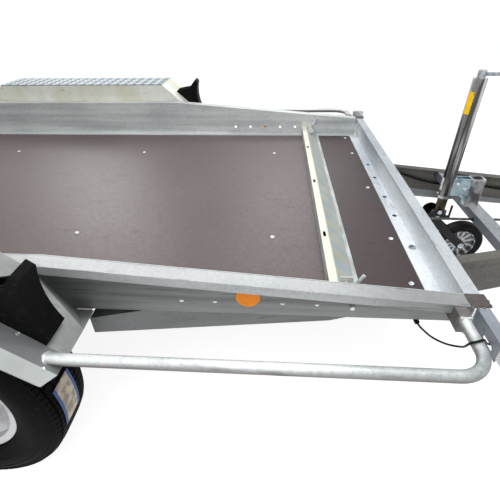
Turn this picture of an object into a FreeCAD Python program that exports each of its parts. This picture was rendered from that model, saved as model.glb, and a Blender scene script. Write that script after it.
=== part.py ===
import FreeCAD, Part
import math
import os
from FreeCAD import Vector

os.makedirs("parts", exist_ok=True)

# A low tandem-axle flatbed trailer for small machines, with ramps, on its jockey wheel.
# It is drawn from the header: x is zero at the header's inner top edge and grows forward,
# y is zero on the centreline and grows to the trailer's left, z is zero on the deck.
# Every piece is moved at the end, so that the origin is under the middle of the whole box.

# Bed
BED_L = 3000.0
BED_HALF = 760.0
DECK_H = 350.0
BOARD_T = 15.0
BOARD_EDGE_GAP = 12.0
SHEET = 3.0
OVERRUN = 40.0
SEAT_GAP = 0.3

# Side rails
RAIL_H = 176.0
RAIL_TAPER_L = 1040.0
RAIL_FLANGE = 47.0
RAIL_LIP = 25.0
RAIL_FOOT = 37.0
RAIL_HOLE_R = 7.0
RAIL_HOLE_Z = 41.0
RAIL_HOLE_FIRST = 264.0
RAIL_HOLE_PITCH = 88.0
RAIL_HOLE_COUNT = 6
REFLECTOR_R = 31.0
REFLECTOR_T = 8.0
REFLECTOR_Z = 64.0
REFLECTOR_HOLE = 3

# Header
HEADER_H = 90.0
HEADER_STRIP = 36.0
HEADER_NOSE = 5.0
HEADER_TOP_W = 38.0
HEADER_LIP = 30.0
STRIP_HOLE_R = 9.0
STRIP_HOLE_X = 13.5
STRIP_HOLE_SPREAD = 349.0
STRIP_HOLE_MID = 30.0
STRIP_HOLE_PITCH = 156.0

# Lamp arms on the header's ends
ARM_OUT = 165.0
ARM_WEB_X = 10.0
ARM_H = 50.0
ARM_SLOT_L = 42.0
ARM_SLOT_W = 13.0
ARM_SLOT_OUT = 123.0
ARM_SLOT_Z = 54.0
FRONT_LAMP_L = 62.0
FRONT_LAMP_H = 44.0
FRONT_LAMP_T = 26.0
FRONT_LAMP_EDGE = 6.0

# Frame under the deck
BEARER_H = 40.0
BEARER_W = 40.0
BEARER_INSET = 60.0
BEARER_FIRST = 20.0
BEARER_PITCH = 700.0
BEARER_OFFSET = 470.0
BEARER_COUNT = 4
LEG_BEARER_INSET = 150.0
BEAM_INSET = 355.0
BEAM_H = 80.0
BEAM_W = 40.0
BEAM_T = 4.0
REAR_BEAM_D = 40.0
REAR_BEAM_H = 90.0
REAR_BEAM_OUT = 240.0

# Drawbar
BAR_SLOPE = 0.272
BAR_REF_X = 229.0
BAR_REF_Y = 417.0
BAR_W = 40.0
BAR_T = 4.0
BAR_H = 172.0
BAR_REAR_H = 58.0
BAR_FRONT_H = 95.0
BAR_REAR_X = 983.0
BAR_KNEE_X = 268.0
BAR_FRONT_X = 1480.0
STRUT_REAR_X = 357.0
STRUT_L = 54.0
STRUT_H = 38.0
STRUT_WALL = 3.0

# Overrun housing and coupling
PLATE_T = 8.0
PLATE_REAR_X = 1230.0
PLATE_FRONT_X = 1500.0
HOUSING_R = 40.0
HOUSING_RISE = 22.0
HOUSING_L = 230.0
HOUSING_FOOT_L = 30.0
HOUSING_FOOT_W = 110.0
SHAFT_R = 25.0
BELLOWS_L = 120.0
BELLOWS_R = 37.0
BELLOWS_ROOT_R = 31.0
BELLOWS_FOLDS = 5
HEAD_L = 150.0
HEAD_W = 74.0
HEAD_H = 66.0
CUP_R = 42.0
BALL_R = 25.5
CUP_SKIRT = 32.0
CUP_TOP = 36.0
HEAD_HANDLE_L = 190.0
HEAD_HANDLE_W = 34.0
HEAD_HANDLE_T = 8.0
HANDBRAKE_L = 360.0
HANDBRAKE_W = 26.0
HANDBRAKE_T = 8.0
HANDBRAKE_GRIP_L = 110.0
HANDBRAKE_GRIP_R = 15.0
HANDBRAKE_LEAN = 20.0
ROD_R = 5.0
ROD_Y = 84.0
ROD_RISE = 12.0
ROD_HOLE_GAP = 3.0

# Jockey wheel
JACK_X = 252.0
JACK_TUBE_R = 24.0
JACK_BORE_R = 21.0
JACK_TOP_Z = 436.0
JACK_BOTTOM_Z = -25.0
JACK_COLLAR_R = 28.0
JACK_COLLAR_H = 12.0
JACK_INNER_R = 20.5
JACK_INNER_L = 330.0
JACK_TRAIL = 124.0
JACK_WHEEL_R = 100.0
JACK_WHEEL_W = 50.0
JACK_RIM_R = 66.0
JACK_HUB_R = 20.0
JACK_WEB_HALF = 6.0
JACK_TREAD_HALF = 17.0
JACK_SHOULDER = 8.0
JACK_PIN_R = 8.0
JACK_BORE_GAP = 0.06
CROWN_R = 30.0
CROWN_H = 30.0
CROWN_DROP = 65.0
FORK_T = 5.0
FORK_GAP = 6.0
FORK_EYE_R = 18.0
FORK_HEAD_R = 34.0
FORK_HEAD_BACK = 26.0
FORK_ARM_R = 15.0
FORK_LEVER_OUT = 30.0
FORK_LEVER_R = 4.5
FORK_LEVER_L = 56.0
FORK_EAR_H = 16.0
CLAMP_H = 72.0
CLAMP_W = 40.0
CLAMP_WALL = 8.0
CLAMP_Z = 25.0
POST_L = 56.0
POST_BACK = 20.0
POST_EDGE_R = 10.0
BRACKET_W = 50.0
BRACKET_T = 8.0
CRANK_KNUCKLE_R = 14.0
CRANK_KNUCKLE_H = 26.0
CRANK_ARM_L = 150.0
CRANK_ARM_R = 6.0
CRANK_GRIP_L = 95.0
CRANK_GRIP_R = 13.0

# Wheels and axles
WHEEL_X = 1225.0
WHEEL_BASE = 800.0
WHEEL_OUT = 209.0
TYRE_R = 289.0
TYRE_W = 160.0
BEAD_R = 167.0
TYRE_WALL_SHARES = ((0.35, 0.97), (0.5, 1), (0.68, 0.97), (0.88, 0.86), (0.97, 0.72), (1, 0.45))
RIM_R = 180.0
RIM_W = 114.0
RIM_T = 4.0
RIM_WELL_R = 148.0
RIM_WELL_HALF = 19.0
RIM_LIP = 9.0
DISC_OFFSET = 30.0
DISC_T = 5.0
DISC_DISH = 22.0
DISC_FLAT_R = 78.0
RIM_SLOT_R = 118.0
RIM_SLOT_W = 16.0
RIM_SLOT_L = 42.0
RIM_SLOTS = 12
HUB_R = 31.0
HUB_CAP_L = 28.0
HUB_CAP_HOLLOW = 7.0
HUB_FOOT_R = 62.0
STUB_R = 17.0
STUB_GAP = 0.4
DRUM_R = 115.0
DRUM_L = 58.0
DRUM_GAP = 5.0
AXLE_SIZE = 70.0
AXLE_WALL = 5.0
AXLE_DROP = 65.0
AXLE_LEAD = 130.0
AXLE_OUT = 10.0
SWING_T = 34.0
SWING_R = 38.0
BACKPLATE_T = 6.0

# Fenders
FENDER_TOP_Z = 266.0
FENDER_LOW_Z = 60.0
FENDER_FRONT_X = 904.0
FENDER_TOP_X = 1138.0
FENDER_IN_OUT = 57.0
FENDER_FOLD_OUT = 260.0
FENDER_EDGE_OUT = 288.0
FENDER_BEVEL = 42.0
BEVEL_TIP = 20.0
BEVEL_CORNER = 16.0
FENDER_STRIP_H = 17.0
FENDER_STRIP_Z = 155.0
FLAP_FRONT_OUT = 133.0
FLAP_TOP_L = 135.0
FLAP_LOW_L = 47.0
FLAP_FOOT_L = 46.0
FLAP_DROP = 6.0

# Chocks on the fenders' front slopes
CHOCK_L = 130.0
CHOCK_H = 124.0
CHOCK_TOE_H = 14.0
CHOCK_W = 66.0
CHOCK_HEEL_L = 18.0
CHOCK_OUT = 179.0
CHOCK_TOE_Z = 93.0
CHOCK_HOLLOW_R = 230.0
CHOCK_EDGE_R = 9.0
HOLDER_T = 5.0
HOLDER_L = 46.0
HOLDER_H = 62.0
HOLDER_TOE_H = 10.0
HOLDER_RIBS = 3

# Guard tubes beside the bed
GUARD_R = 13.5
GUARD_WALL = 2.6
GUARD_OUT = 234.0
GUARD_Z = 78.0
GUARD_LEG_X = -29.0
GUARD_BEND_R = 68.0
GUARD_BLOCK_L = 45.0
GUARD_BLOCK_H = 18.0
GUARD_BLOCK_W = 26.0
GUARD_BLOCK_Z = 48.0
GUARD_BLOCK_OUT = 40.0

# Stop bar across the deck
STOP_REAR_X = 310.0
STOP_H = 40.0
STOP_TOP_W = 24.0
STOP_FRONT_X = 216.0
STOP_FOOT = 12.0
STOP_SLOT_L = 30.0
STOP_SLOT_W = 9.0
STOP_SLOT_PITCH = 420.0
STOP_EAR_H = 71.0
STOP_EAR_L = 76.0
LATCH_R = 6.0
LATCH_SPAN = 90.0
LATCH_END = 12.0
LATCH_GUIDE_W = 34.0
LATCH_BOSS_R = 10.0
LATCH_BOSS_L = 16.0
LATCH_LEVER_L = 68.0
LATCH_LEAN = 27.0
LATCH_LEVER_R = 5.0

# Ramps and prop stands at the rear
RAMP_L = 1300.0
RAMP_W = 340.0
RAMP_T = 46.0
RAMP_INSET = 280.0
RAMP_RAIL_W = 26.0
RAMP_RUNGS = 9
RAMP_RUNG_W = 34.0
RAMP_RUNG_T = 26.0
RAMP_HINGE_BACK = 66.0
RAMP_HINGE_Z = -8.0
RAMP_HINGE_R = 10.0
RAMP_EYE_R = 17.0
RAMP_EYE_W = 26.0
RAMP_EYE_GAP = 0.06
RAMP_EYE_INSET = 52.0
RAMP_START = 30.0
LUG_T = 10.0
LEG_L = 245.0
LEG_SIZE = 40.0
LEG_INSET = 120.0
LEG_PIVOT_INSET = 170.0
LEG_PIVOT_DROP = 90.0
LEG_PIN_R = 7.0
LEG_FOOT_W = 80.0
LEG_FOOT_T = 6.0
REAR_LAMP_L = 200.0
REAR_LAMP_H = 90.0
REAR_LAMP_T = 38.0
REAR_LAMP_EDGE = 8.0

# Cables
CABLE_R = 2.5
CABLE_BEND_SHARE = 0.45
LOOM_R = 5.0
GLAND_WALL = 4.0
GLAND_L = 12.0

# Places that follow from these
ARM_END_Y = BED_HALF + ARM_OUT
ARM_SLOT_Y = BED_HALF + ARM_SLOT_OUT
BEARER_HALF = BED_HALF - BEARER_INSET
BEAM_Y = BED_HALF - BEAM_INSET
REAR_BEAM_HALF = BED_HALF + REAR_BEAM_OUT
LEG_BEARER_X = BED_L - LEG_BEARER_INSET
LEG_PIVOT_X = BED_L - LEG_PIVOT_INSET
LEG_Y = BED_HALF - LEG_INSET
RAMP_Y = BED_HALF - RAMP_INSET
RAMP_HINGE_X = BED_L + RAMP_HINGE_BACK
WHEEL_Y = BED_HALF + WHEEL_OUT
AXLE_HALF = BED_HALF + AXLE_OUT
FENDER_IN_Y = BED_HALF + FENDER_IN_OUT
FENDER_FOLD_Y = BED_HALF + FENDER_FOLD_OUT
FENDER_OUT_Y = BED_HALF + FENDER_EDGE_OUT
FLAP_FRONT_Y = BED_HALF + FLAP_FRONT_OUT
CHOCK_Y = BED_HALF + CHOCK_OUT
GUARD_Y = BED_HALF + GUARD_OUT
WHEEL_Z = TYRE_R - DECK_H
FRAME_Z = -BOARD_T - BEARER_H
REAR_WHEEL_X = WHEEL_X + WHEEL_BASE
FENDER_MID_X = WHEEL_X + WHEEL_BASE / 2
HOUSING_Z = FRAME_Z + PLATE_T + HOUSING_RISE + HOUSING_R
SHAFT_END_X = PLATE_FRONT_X + BELLOWS_L
BALL_X = SHAFT_END_X + HEAD_L + CUP_R
FRONT_TIP_X = BALL_X + CUP_R
REAR_TIP_X = RAMP_HINGE_X + RAMP_T / 2
MID_X = (FRONT_TIP_X - REAR_TIP_X) / 2
STUB_INNER_Y = WHEEL_Y - DRUM_L
FULL_TURN = 360.0
X_AXIS = Vector(1, 0, 0)
Y_AXIS = Vector(0, 1, 0)
Z_AXIS = Vector(0, 0, 1)


def box(x0, x1, y0, y1, z0, z1):
    return Part.makeBox(x1 - x0, y1 - y0, z1 - z0, Vector(x0, y0, z0))


def rod(start, axis, radius, length):
    return Part.makeCylinder(radius, length, start, axis)


def pipe(start, axis, radius, bore, length):
    return rod(start, axis, radius, length).cut(rod(start, axis, bore, length))


def outline(points):
    return Part.makePolygon(list(points) + [points[0]])


def prism_y(points, y0, y1):
    """A solid whose outline is given in x and z, between two values of y."""
    wire = outline([Vector(x, y0, z) for x, z in points])
    return Part.Face(wire).extrude(Vector(0, y1 - y0, 0))


def prism_x(points, x0, x1):
    """A solid whose outline is given in y and z, between two values of x."""
    wire = outline([Vector(x0, y, z) for y, z in points])
    return Part.Face(wire).extrude(Vector(x1 - x0, 0, 0))


def prism_z(points, z0, z1):
    """A solid whose outline is given in x and y, between two values of z."""
    wire = outline([Vector(x, y, z0) for x, y in points])
    return Part.Face(wire).extrude(Vector(0, 0, z1 - z0))


def turned(points, centre, axis):
    """A solid of revolution from an outline of radius and distance along the axis."""
    wire = outline([Vector(radius, 0, along) for radius, along in points])
    solid = Part.Face(wire).revolve(Vector(0, 0, 0), Z_AXIS, FULL_TURN)
    spin = FreeCAD.Rotation(Z_AXIS, axis)
    solid.Placement = FreeCAD.Placement(centre, spin)
    return solid


def mirrored(shape):
    return shape.mirror(Vector(0, 0, 0), Y_AXIS)


def pair(shape):
    return Part.makeCompound([shape, mirrored(shape)])


def rail_points(height):
    """The folded section of the left rail: foot on the board, web, flange and hanging lip."""
    web_in = BED_HALF
    web_out = BED_HALF + SHEET
    lip_out = BED_HALF + RAIL_FLANGE
    foot_in = BED_HALF - RAIL_FOOT
    return [(foot_in, 0), (web_out, 0), (web_out, height - SHEET),
            (lip_out - SHEET, height - SHEET), (lip_out - SHEET, height - RAIL_LIP),
            (lip_out, height - RAIL_LIP), (lip_out, height), (web_in, height),
            (web_in, SHEET), (foot_in, SHEET)]


def rail_wire(x, height):
    return outline([Vector(x, y, z) for y, z in rail_points(height)])


def side_rail():
    """Full height at the back, then falling in a straight line to the header."""
    rear = prism_x(rail_points(RAIL_H), -BED_L, -RAIL_TAPER_L)
    wires = [rail_wire(-RAIL_TAPER_L, RAIL_H), rail_wire(0, HEADER_H)]
    front = Part.makeLoft(wires, True, True)
    rail = rear.fuse(front).removeSplitter()
    for index in range(RAIL_HOLE_COUNT):
        x = -RAIL_HOLE_FIRST - index * RAIL_HOLE_PITCH
        start = Vector(x, BED_HALF - OVERRUN, RAIL_HOLE_Z)
        rail = rail.cut(rod(start, Y_AXIS, RAIL_HOLE_R, OVERRUN + OVERRUN))
    return rail


def strip_hole_places():
    places = []
    for side in (STRIP_HOLE_SPREAD / 2, -STRIP_HOLE_SPREAD / 2):
        for step in (-STRIP_HOLE_PITCH / 2, STRIP_HOLE_PITCH / 2):
            places.append(STRIP_HOLE_MID + side + step)
    return places


def strip_holes():
    holes = [rod(Vector(-STRIP_HOLE_X, y, -BOARD_T - OVERRUN), Z_AXIS, STRIP_HOLE_R,
                 BOARD_T + OVERRUN + OVERRUN) for y in strip_hole_places()]
    return Part.makeCompound(holes)


def deck_board():
    half = BED_HALF - BOARD_EDGE_GAP
    return box(-BED_L, 0, -half, half, -BOARD_T, 0).cut(strip_holes())


def lamp_arm():
    """A folded channel that carries the front lamp out past the rail."""
    y0 = BED_HALF + RAIL_FLANGE
    web = ARM_WEB_X + SHEET
    low = HEADER_H - ARM_H
    section = [(ARM_WEB_X, low), (web, low), (web, HEADER_H - SHEET),
               (HEADER_TOP_W, HEADER_H - SHEET), (HEADER_TOP_W, HEADER_H),
               (ARM_WEB_X, HEADER_H)]
    arm = prism_y(section, y0, ARM_END_Y)
    half = (ARM_SLOT_L - ARM_SLOT_W) / 2
    slot = box(ARM_WEB_X - OVERRUN, web + OVERRUN, ARM_SLOT_Y - half, ARM_SLOT_Y + half,
               ARM_SLOT_Z - ARM_SLOT_W / 2, ARM_SLOT_Z + ARM_SLOT_W / 2)
    for end in (ARM_SLOT_Y - half, ARM_SLOT_Y + half):
        start = Vector(ARM_WEB_X - OVERRUN, end, ARM_SLOT_Z)
        slot = slot.fuse(rod(start, X_AXIS, ARM_SLOT_W / 2, OVERRUN + OVERRUN))
    return arm.cut(slot)


def front_header():
    """A folded front board: strip on the deck, upright web, flange, lip and lamp arms."""
    web = HEADER_NOSE + SHEET
    strip_half = BED_HALF - RAIL_FOOT
    wide_half = BED_HALF + RAIL_FLANGE
    strip = box(-HEADER_STRIP, web, -strip_half, strip_half, 0, SHEET)
    upper = [(HEADER_NOSE, 0), (web, 0), (web, HEADER_H - SHEET),
             (HEADER_TOP_W - SHEET, HEADER_H - SHEET),
             (HEADER_TOP_W - SHEET, HEADER_H - HEADER_LIP),
             (HEADER_TOP_W, HEADER_H - HEADER_LIP), (HEADER_TOP_W, HEADER_H),
             (0, HEADER_H), (0, HEADER_H - SHEET), (HEADER_NOSE, HEADER_H - SHEET)]
    header = strip.fuse([prism_y(upper, -wide_half, wide_half), lamp_arm(),
                         mirrored(lamp_arm())]).removeSplitter()
    return header.cut(strip_holes())


def front_lamp():
    lamp = box(ARM_WEB_X, ARM_WEB_X + FRONT_LAMP_L, ARM_END_Y, ARM_END_Y + FRONT_LAMP_T,
               HEADER_H - FRONT_LAMP_H, HEADER_H)
    edges = [edge for edge in lamp.Edges if edge.BoundBox.YLength > FRONT_LAMP_T / 2]
    return lamp.makeFillet(FRONT_LAMP_EDGE, edges)


def bearer(x, half):
    """A cold-rolled channel lying across the frame under the board."""
    outer = box(x - BEARER_W / 2, x + BEARER_W / 2, -half, half, FRAME_Z, -BOARD_T)
    inner = box(x - BEARER_W / 2 + SHEET, x + BEARER_W / 2 + OVERRUN, -half, half,
                FRAME_Z + SHEET, -BOARD_T - SHEET)
    return outer.cut(inner)


def leg_lugs():
    """The fork plates that hang from the last bearer and hold a prop stand's pin."""
    x0 = -LEG_PIVOT_X - LEG_SIZE / 2
    x1 = -LEG_PIVOT_X + LEG_SIZE / 2
    low = -LEG_PIVOT_DROP - LEG_SIZE / 2
    plates = []
    for y in (LEG_Y - LEG_SIZE / 2 - LUG_T - LUG_T / 2, LEG_Y + LEG_SIZE / 2 + LUG_T / 2):
        plates.append(box(x0, x1, y, y + LUG_T, low, FRAME_Z))
    pin = rod(Vector(-LEG_PIVOT_X, LEG_Y - LEG_SIZE / 2 - LUG_T, -LEG_PIVOT_DROP), Y_AXIS,
              LEG_PIN_R, LEG_SIZE + LUG_T + LUG_T)
    return plates[0].fuse([plates[1], pin])


def floor_bearers():
    places = [-BEARER_FIRST]
    places += [-BEARER_OFFSET - index * BEARER_PITCH for index in range(BEARER_COUNT)]
    bars = [bearer(x, BEARER_HALF) for x in places]
    rear = bearer(-LEG_BEARER_X, BEARER_HALF)
    lugs = leg_lugs()
    bars.append(rear.fuse([lugs, mirrored(lugs)]))
    return Part.makeCompound(bars)


def axle_tube(wheel_x):
    x = -wheel_x + AXLE_LEAD
    half = AXLE_SIZE / 2
    return box(x - half, x + half, -AXLE_HALF, AXLE_HALF, axle_z() - half, axle_z() + half)


def axle_z():
    return FRAME_Z - AXLE_DROP


def axle_end(wheel_x):
    """Swing arm, brake back plate and stub on one end of an axle tube."""
    tube_x = -wheel_x + AXLE_LEAD
    y0 = AXLE_HALF
    arm = rod(Vector(tube_x, y0, axle_z()), Y_AXIS, SWING_R, SWING_T)
    eye = rod(Vector(-wheel_x, y0, WHEEL_Z), Y_AXIS, SWING_R, SWING_T)
    run = Vector(-wheel_x - tube_x, 0, WHEEL_Z - axle_z())
    length = run.Length
    bar = Part.makeBox(length, SWING_T, SWING_R + SWING_R, Vector(0, 0, -SWING_R))
    bar.Placement = FreeCAD.Placement(Vector(tube_x, y0, axle_z()),
                                      FreeCAD.Rotation(X_AXIS, run))
    plate = rod(Vector(-wheel_x, STUB_INNER_Y - BACKPLATE_T, WHEEL_Z), Y_AXIS,
                DRUM_R, BACKPLATE_T)
    boss = rod(Vector(-wheel_x, y0, WHEEL_Z), Y_AXIS, SWING_R, STUB_INNER_Y - y0)
    stub = rod(Vector(-wheel_x, y0, WHEEL_Z), Y_AXIS, STUB_R,
               WHEEL_Y + DISC_OFFSET - y0)
    return arm.fuse([eye, bar, plate, boss, stub])


def axles():
    solids = []
    for wheel_x in (WHEEL_X, REAR_WHEEL_X):
        end = axle_end(wheel_x)
        x = -wheel_x + AXLE_LEAD
        half = AXLE_SIZE / 2 - AXLE_WALL
        bore = box(x - half, x + half, -AXLE_HALF, AXLE_HALF, axle_z() - half, axle_z() + half)
        tube = axle_tube(wheel_x).cut(bore)
        solids.append(tube.fuse([end, mirrored(end)]).removeSplitter())
    return Part.makeCompound(solids)


def chassis_beams():
    """Two channels lengthwise under the bearers, notched over the axle tubes."""
    front = -WHEEL_X + AXLE_LEAD + AXLE_SIZE / 2 + BEAM_H
    outer = box(-BED_L, front, BEAM_Y, BEAM_Y + BEAM_W, FRAME_Z - BEAM_H, FRAME_Z)
    inner = box(-BED_L, front, BEAM_Y - OVERRUN, BEAM_Y + BEAM_W - BEAM_T,
                FRAME_Z - BEAM_H + BEAM_T, FRAME_Z - BEAM_T)
    beam = outer.cut(inner)
    for wheel_x in (WHEEL_X, REAR_WHEEL_X):
        beam = beam.cut(axle_tube(wheel_x))
    return pair(beam)


def bar_outer_y(x):
    return BAR_REF_Y - BAR_SLOPE * (x - BAR_REF_X)


def bar_profile(inset):
    """The drawbar arm seen from the side: level top, deepest at the knee under the bed."""
    top = FRAME_Z - inset
    return [(-BAR_REAR_X, top), (BAR_FRONT_X, top), (BAR_FRONT_X, FRAME_Z - BAR_FRONT_H + inset),
            (-BAR_KNEE_X, FRAME_Z - BAR_H + inset), (-BAR_REAR_X, FRAME_Z - BAR_REAR_H + inset)]


def slanted(x0, x1, outer_inset, width, z0, z1):
    """An upright block that follows the arm's slant, between two values of x."""
    points = [(x0, bar_outer_y(x0) - outer_inset), (x1, bar_outer_y(x1) - outer_inset),
              (x1, bar_outer_y(x1) - outer_inset - width),
              (x0, bar_outer_y(x0) - outer_inset - width)]
    return prism_z(points, z0, z1)


def drawbar_arm():
    """A C section open to the inside, with a lip on both flanges."""
    low = FRAME_Z - BAR_H
    body = slanted(-BAR_REAR_X, BAR_FRONT_X, 0, BAR_W, low, FRAME_Z)
    body = body.common(prism_y(bar_profile(0), -BED_HALF, BED_HALF))
    hollow = slanted(-BAR_REAR_X, BAR_FRONT_X, BAR_T, BAR_W + OVERRUN, low, FRAME_Z)
    hollow = hollow.common(prism_y(bar_profile(BAR_T), -BED_HALF, BED_HALF))
    return body.cut(hollow).removeSplitter()


def drawbar_strut():
    """A rectangular tube between the arms, cut to their slant, with the rod's hole."""
    x0 = STRUT_REAR_X
    x1 = STRUT_REAR_X + STRUT_L
    top = FRAME_Z - BAR_T
    low = top - STRUT_H
    ends = [(x0, bar_outer_y(x0) - BAR_T), (x1, bar_outer_y(x1) - BAR_T)]
    points = ends + [(x, -y) for x, y in reversed(ends)]
    tube = prism_z(points, low, top)
    bore = box(x0 + STRUT_WALL, x1 - STRUT_WALL, -BED_HALF, BED_HALF,
               low + STRUT_WALL, top - STRUT_WALL)
    hole = rod(Vector(x0 - OVERRUN, -ROD_Y, rod_z()), X_AXIS, ROD_R + ROD_HOLE_GAP,
               STRUT_L + OVERRUN + OVERRUN)
    return tube.cut(bore).cut(hole)


def rod_z():
    return FRAME_Z - BAR_T - STRUT_H + ROD_RISE


def brake_rod():
    """The long rod from the overrun lever to the front axle, with a plate at both ends."""
    rear = -WHEEL_X + AXLE_LEAD + AXLE_SIZE / 2
    bar = rod(Vector(rear, -ROD_Y, rod_z()), X_AXIS, ROD_R, PLATE_REAR_X - rear)
    crank = box(PLATE_REAR_X, PLATE_REAR_X + BRACKET_W, -ROD_Y - PLATE_T / 2,
                -ROD_Y + PLATE_T / 2, rod_z() - HOUSING_RISE, FRAME_Z)
    lug = box(rear, rear + BRACKET_T, -ROD_Y - BRACKET_W / 2, -ROD_Y + BRACKET_W / 2,
              axle_z(), rod_z() + BRACKET_T)
    return bar.fuse([crank, lug])


def plan_plate(z0, z1):
    """A plate across both arms, as wide as they are."""
    x0 = PLATE_REAR_X
    x1 = BAR_FRONT_X
    points = [(x0, bar_outer_y(x0)), (x1, bar_outer_y(x1)), (PLATE_FRONT_X, bar_outer_y(x1)),
              (PLATE_FRONT_X, -bar_outer_y(x1)), (x1, -bar_outer_y(x1)), (x0, -bar_outer_y(x0))]
    return prism_z(points, z0, z1)


def overrun_housing():
    """Bolted plate, two feet and the cast tube that guides the drawbar shaft."""
    top = FRAME_Z + PLATE_T
    plate = plan_plate(FRAME_Z, top)
    rear = PLATE_FRONT_X - HOUSING_L
    tube = rod(Vector(rear, 0, HOUSING_Z), X_AXIS, HOUSING_R, HOUSING_L)
    feet = []
    for x in (rear, PLATE_FRONT_X - HOUSING_FOOT_L - HOUSING_RISE):
        feet.append(box(x, x + HOUSING_FOOT_L, -HOUSING_FOOT_W / 2, HOUSING_FOOT_W / 2,
                        top, HOUSING_Z))
    return plate.fuse([tube] + feet)


def drawbar_bellows():
    """Rubber folds over the sliding shaft, between the housing and the coupling."""
    step = BELLOWS_L / BELLOWS_FOLDS
    points = [(SHAFT_R, 0)]
    for index in range(BELLOWS_FOLDS):
        points.append((BELLOWS_ROOT_R, index * step))
        points.append((BELLOWS_R, index * step + step / 2))
    points += [(BELLOWS_ROOT_R, BELLOWS_L), (SHAFT_R, BELLOWS_L)]
    return turned(points, Vector(PLATE_FRONT_X, 0, HOUSING_Z), X_AXIS)


def coupling_head():
    """The pressed coupling: shaft, tapered body and the cup that drops over the ball."""
    shaft = rod(Vector(PLATE_FRONT_X, 0, HOUSING_Z), X_AXIS, SHAFT_R, BELLOWS_L)
    low = HOUSING_Z - HEAD_H / 2
    top = HOUSING_Z + HEAD_H / 2
    plan = [(SHAFT_END_X, HEAD_W / 2), (BALL_X, CUP_R - SHEET), (BALL_X, SHEET - CUP_R),
            (SHAFT_END_X, -HEAD_W / 2)]
    body = prism_z(plan, low, top)
    cup = rod(Vector(BALL_X, 0, HOUSING_Z - CUP_SKIRT), Z_AXIS, CUP_R, CUP_SKIRT + CUP_TOP)
    ball = Part.makeSphere(BALL_R, Vector(BALL_X, 0, HOUSING_Z))
    throat = rod(Vector(BALL_X, 0, HOUSING_Z - CUP_SKIRT - OVERRUN), Z_AXIS, BALL_R,
                 CUP_SKIRT + OVERRUN)
    return shaft.fuse([body, cup]).cut(ball).cut(throat).removeSplitter()


def coupling_handle():
    """The lift handle that lies back over the coupling."""
    top = HOUSING_Z + CUP_TOP
    y = HEAD_HANDLE_W / 2
    rear = BALL_X - HEAD_HANDLE_L
    rise = HEAD_HANDLE_W
    profile = [(BALL_X + y, top), (BALL_X + y, top + HEAD_HANDLE_T),
               (BALL_X - y, top + HEAD_HANDLE_T + HEAD_HANDLE_T),
               (rear, top + rise + HEAD_HANDLE_T), (rear, top + rise),
               (BALL_X - y - HEAD_HANDLE_T, top)]
    return prism_y(profile, -y, y)


def handbrake_lever():
    """A flat lever on the right of the housing, with a round grip."""
    x = PLATE_FRONT_X - HOUSING_L + HOUSING_FOOT_L / 2
    y = -HOUSING_FOOT_W / 2
    blade = box(-HANDBRAKE_W / 2, HANDBRAKE_W / 2, -HANDBRAKE_T, 0, -HANDBRAKE_W,
                HANDBRAKE_L)
    grip = rod(Vector(0, -HANDBRAKE_T / 2, HANDBRAKE_L), Z_AXIS, HANDBRAKE_GRIP_R, HANDBRAKE_GRIP_L)
    lever = blade.fuse(grip)
    lever.Placement = FreeCAD.Placement(Vector(x, y, HOUSING_Z - HOUSING_RISE),
                                        FreeCAD.Rotation(Y_AXIS, HANDBRAKE_LEAN))
    return lever


def jockey_outer_tube():
    """The tall outer tube with its top cap and the collar at the lower end."""
    base = Vector(JACK_X, 0, JACK_BOTTOM_Z)
    tube = pipe(base, Z_AXIS, JACK_TUBE_R, JACK_BORE_R, JACK_TOP_Z - JACK_BOTTOM_Z)
    collar = pipe(base, Z_AXIS, JACK_COLLAR_R, JACK_TUBE_R, JACK_COLLAR_H)
    cap = rod(Vector(JACK_X, 0, JACK_TOP_Z), Z_AXIS, JACK_TUBE_R, SHEET)
    return tube.fuse([collar, cap]).removeSplitter()


def jockey_crank():
    """Knuckle, arm and grip on top of the spindle."""
    z0 = JACK_TOP_Z + SHEET
    knuckle = rod(Vector(JACK_X, 0, z0), Z_AXIS, CRANK_KNUCKLE_R, CRANK_KNUCKLE_H)
    z_arm = z0 + CRANK_KNUCKLE_H / 2
    arm = rod(Vector(JACK_X, 0, z_arm), X_AXIS, CRANK_ARM_R, CRANK_ARM_L)
    grip = rod(Vector(JACK_X + CRANK_ARM_L, 0, z_arm + CRANK_ARM_R - CRANK_GRIP_L), Z_AXIS,
               CRANK_GRIP_R, CRANK_GRIP_L)
    return knuckle.fuse([arm, grip])


def jockey_clamp():
    """Two cheeks welded to the tube and bolted to a square post on the strut."""
    z0 = CLAMP_Z - CLAMP_H / 2
    z1 = CLAMP_Z + CLAMP_H / 2
    x0 = STRUT_REAR_X - POST_BACK
    lug = box(JACK_X, x0, -CLAMP_W / 2, CLAMP_W / 2, z0, z1)
    gap = box(JACK_X + JACK_TUBE_R + CLAMP_WALL, x0, -CLAMP_W / 2 + CLAMP_WALL,
              CLAMP_W / 2 - CLAMP_WALL, z0 - OVERRUN, z1 + OVERRUN)
    bore = rod(Vector(JACK_X, 0, z0 - OVERRUN), Z_AXIS, JACK_TUBE_R, CLAMP_H + OVERRUN + OVERRUN)
    post = box(x0, x0 + POST_L, -BRACKET_W / 2, BRACKET_W / 2, FRAME_Z - BAR_T, z1)
    upright = [edge for edge in post.Edges if edge.BoundBox.ZLength > CLAMP_H]
    post = post.makeFillet(POST_EDGE_R, upright)
    well = box(x0 + BRACKET_T, x0 + POST_L - BRACKET_T, -BRACKET_W / 2 + BRACKET_T,
               BRACKET_W / 2 - BRACKET_T, z0, z1 + OVERRUN)
    return post.cut(well).fuse(lug.cut(gap).cut(bore)).removeSplitter()


def jockey_inner_tube():
    """The dark inner tube that the spindle drives up and down in the outer one."""
    low = JACK_BOTTOM_Z - CROWN_DROP
    return rod(Vector(JACK_X, 0, low), Z_AXIS, JACK_INNER_R, JACK_INNER_L)


def jockey_wheel_z():
    return JACK_WHEEL_R - DECK_H


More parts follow.
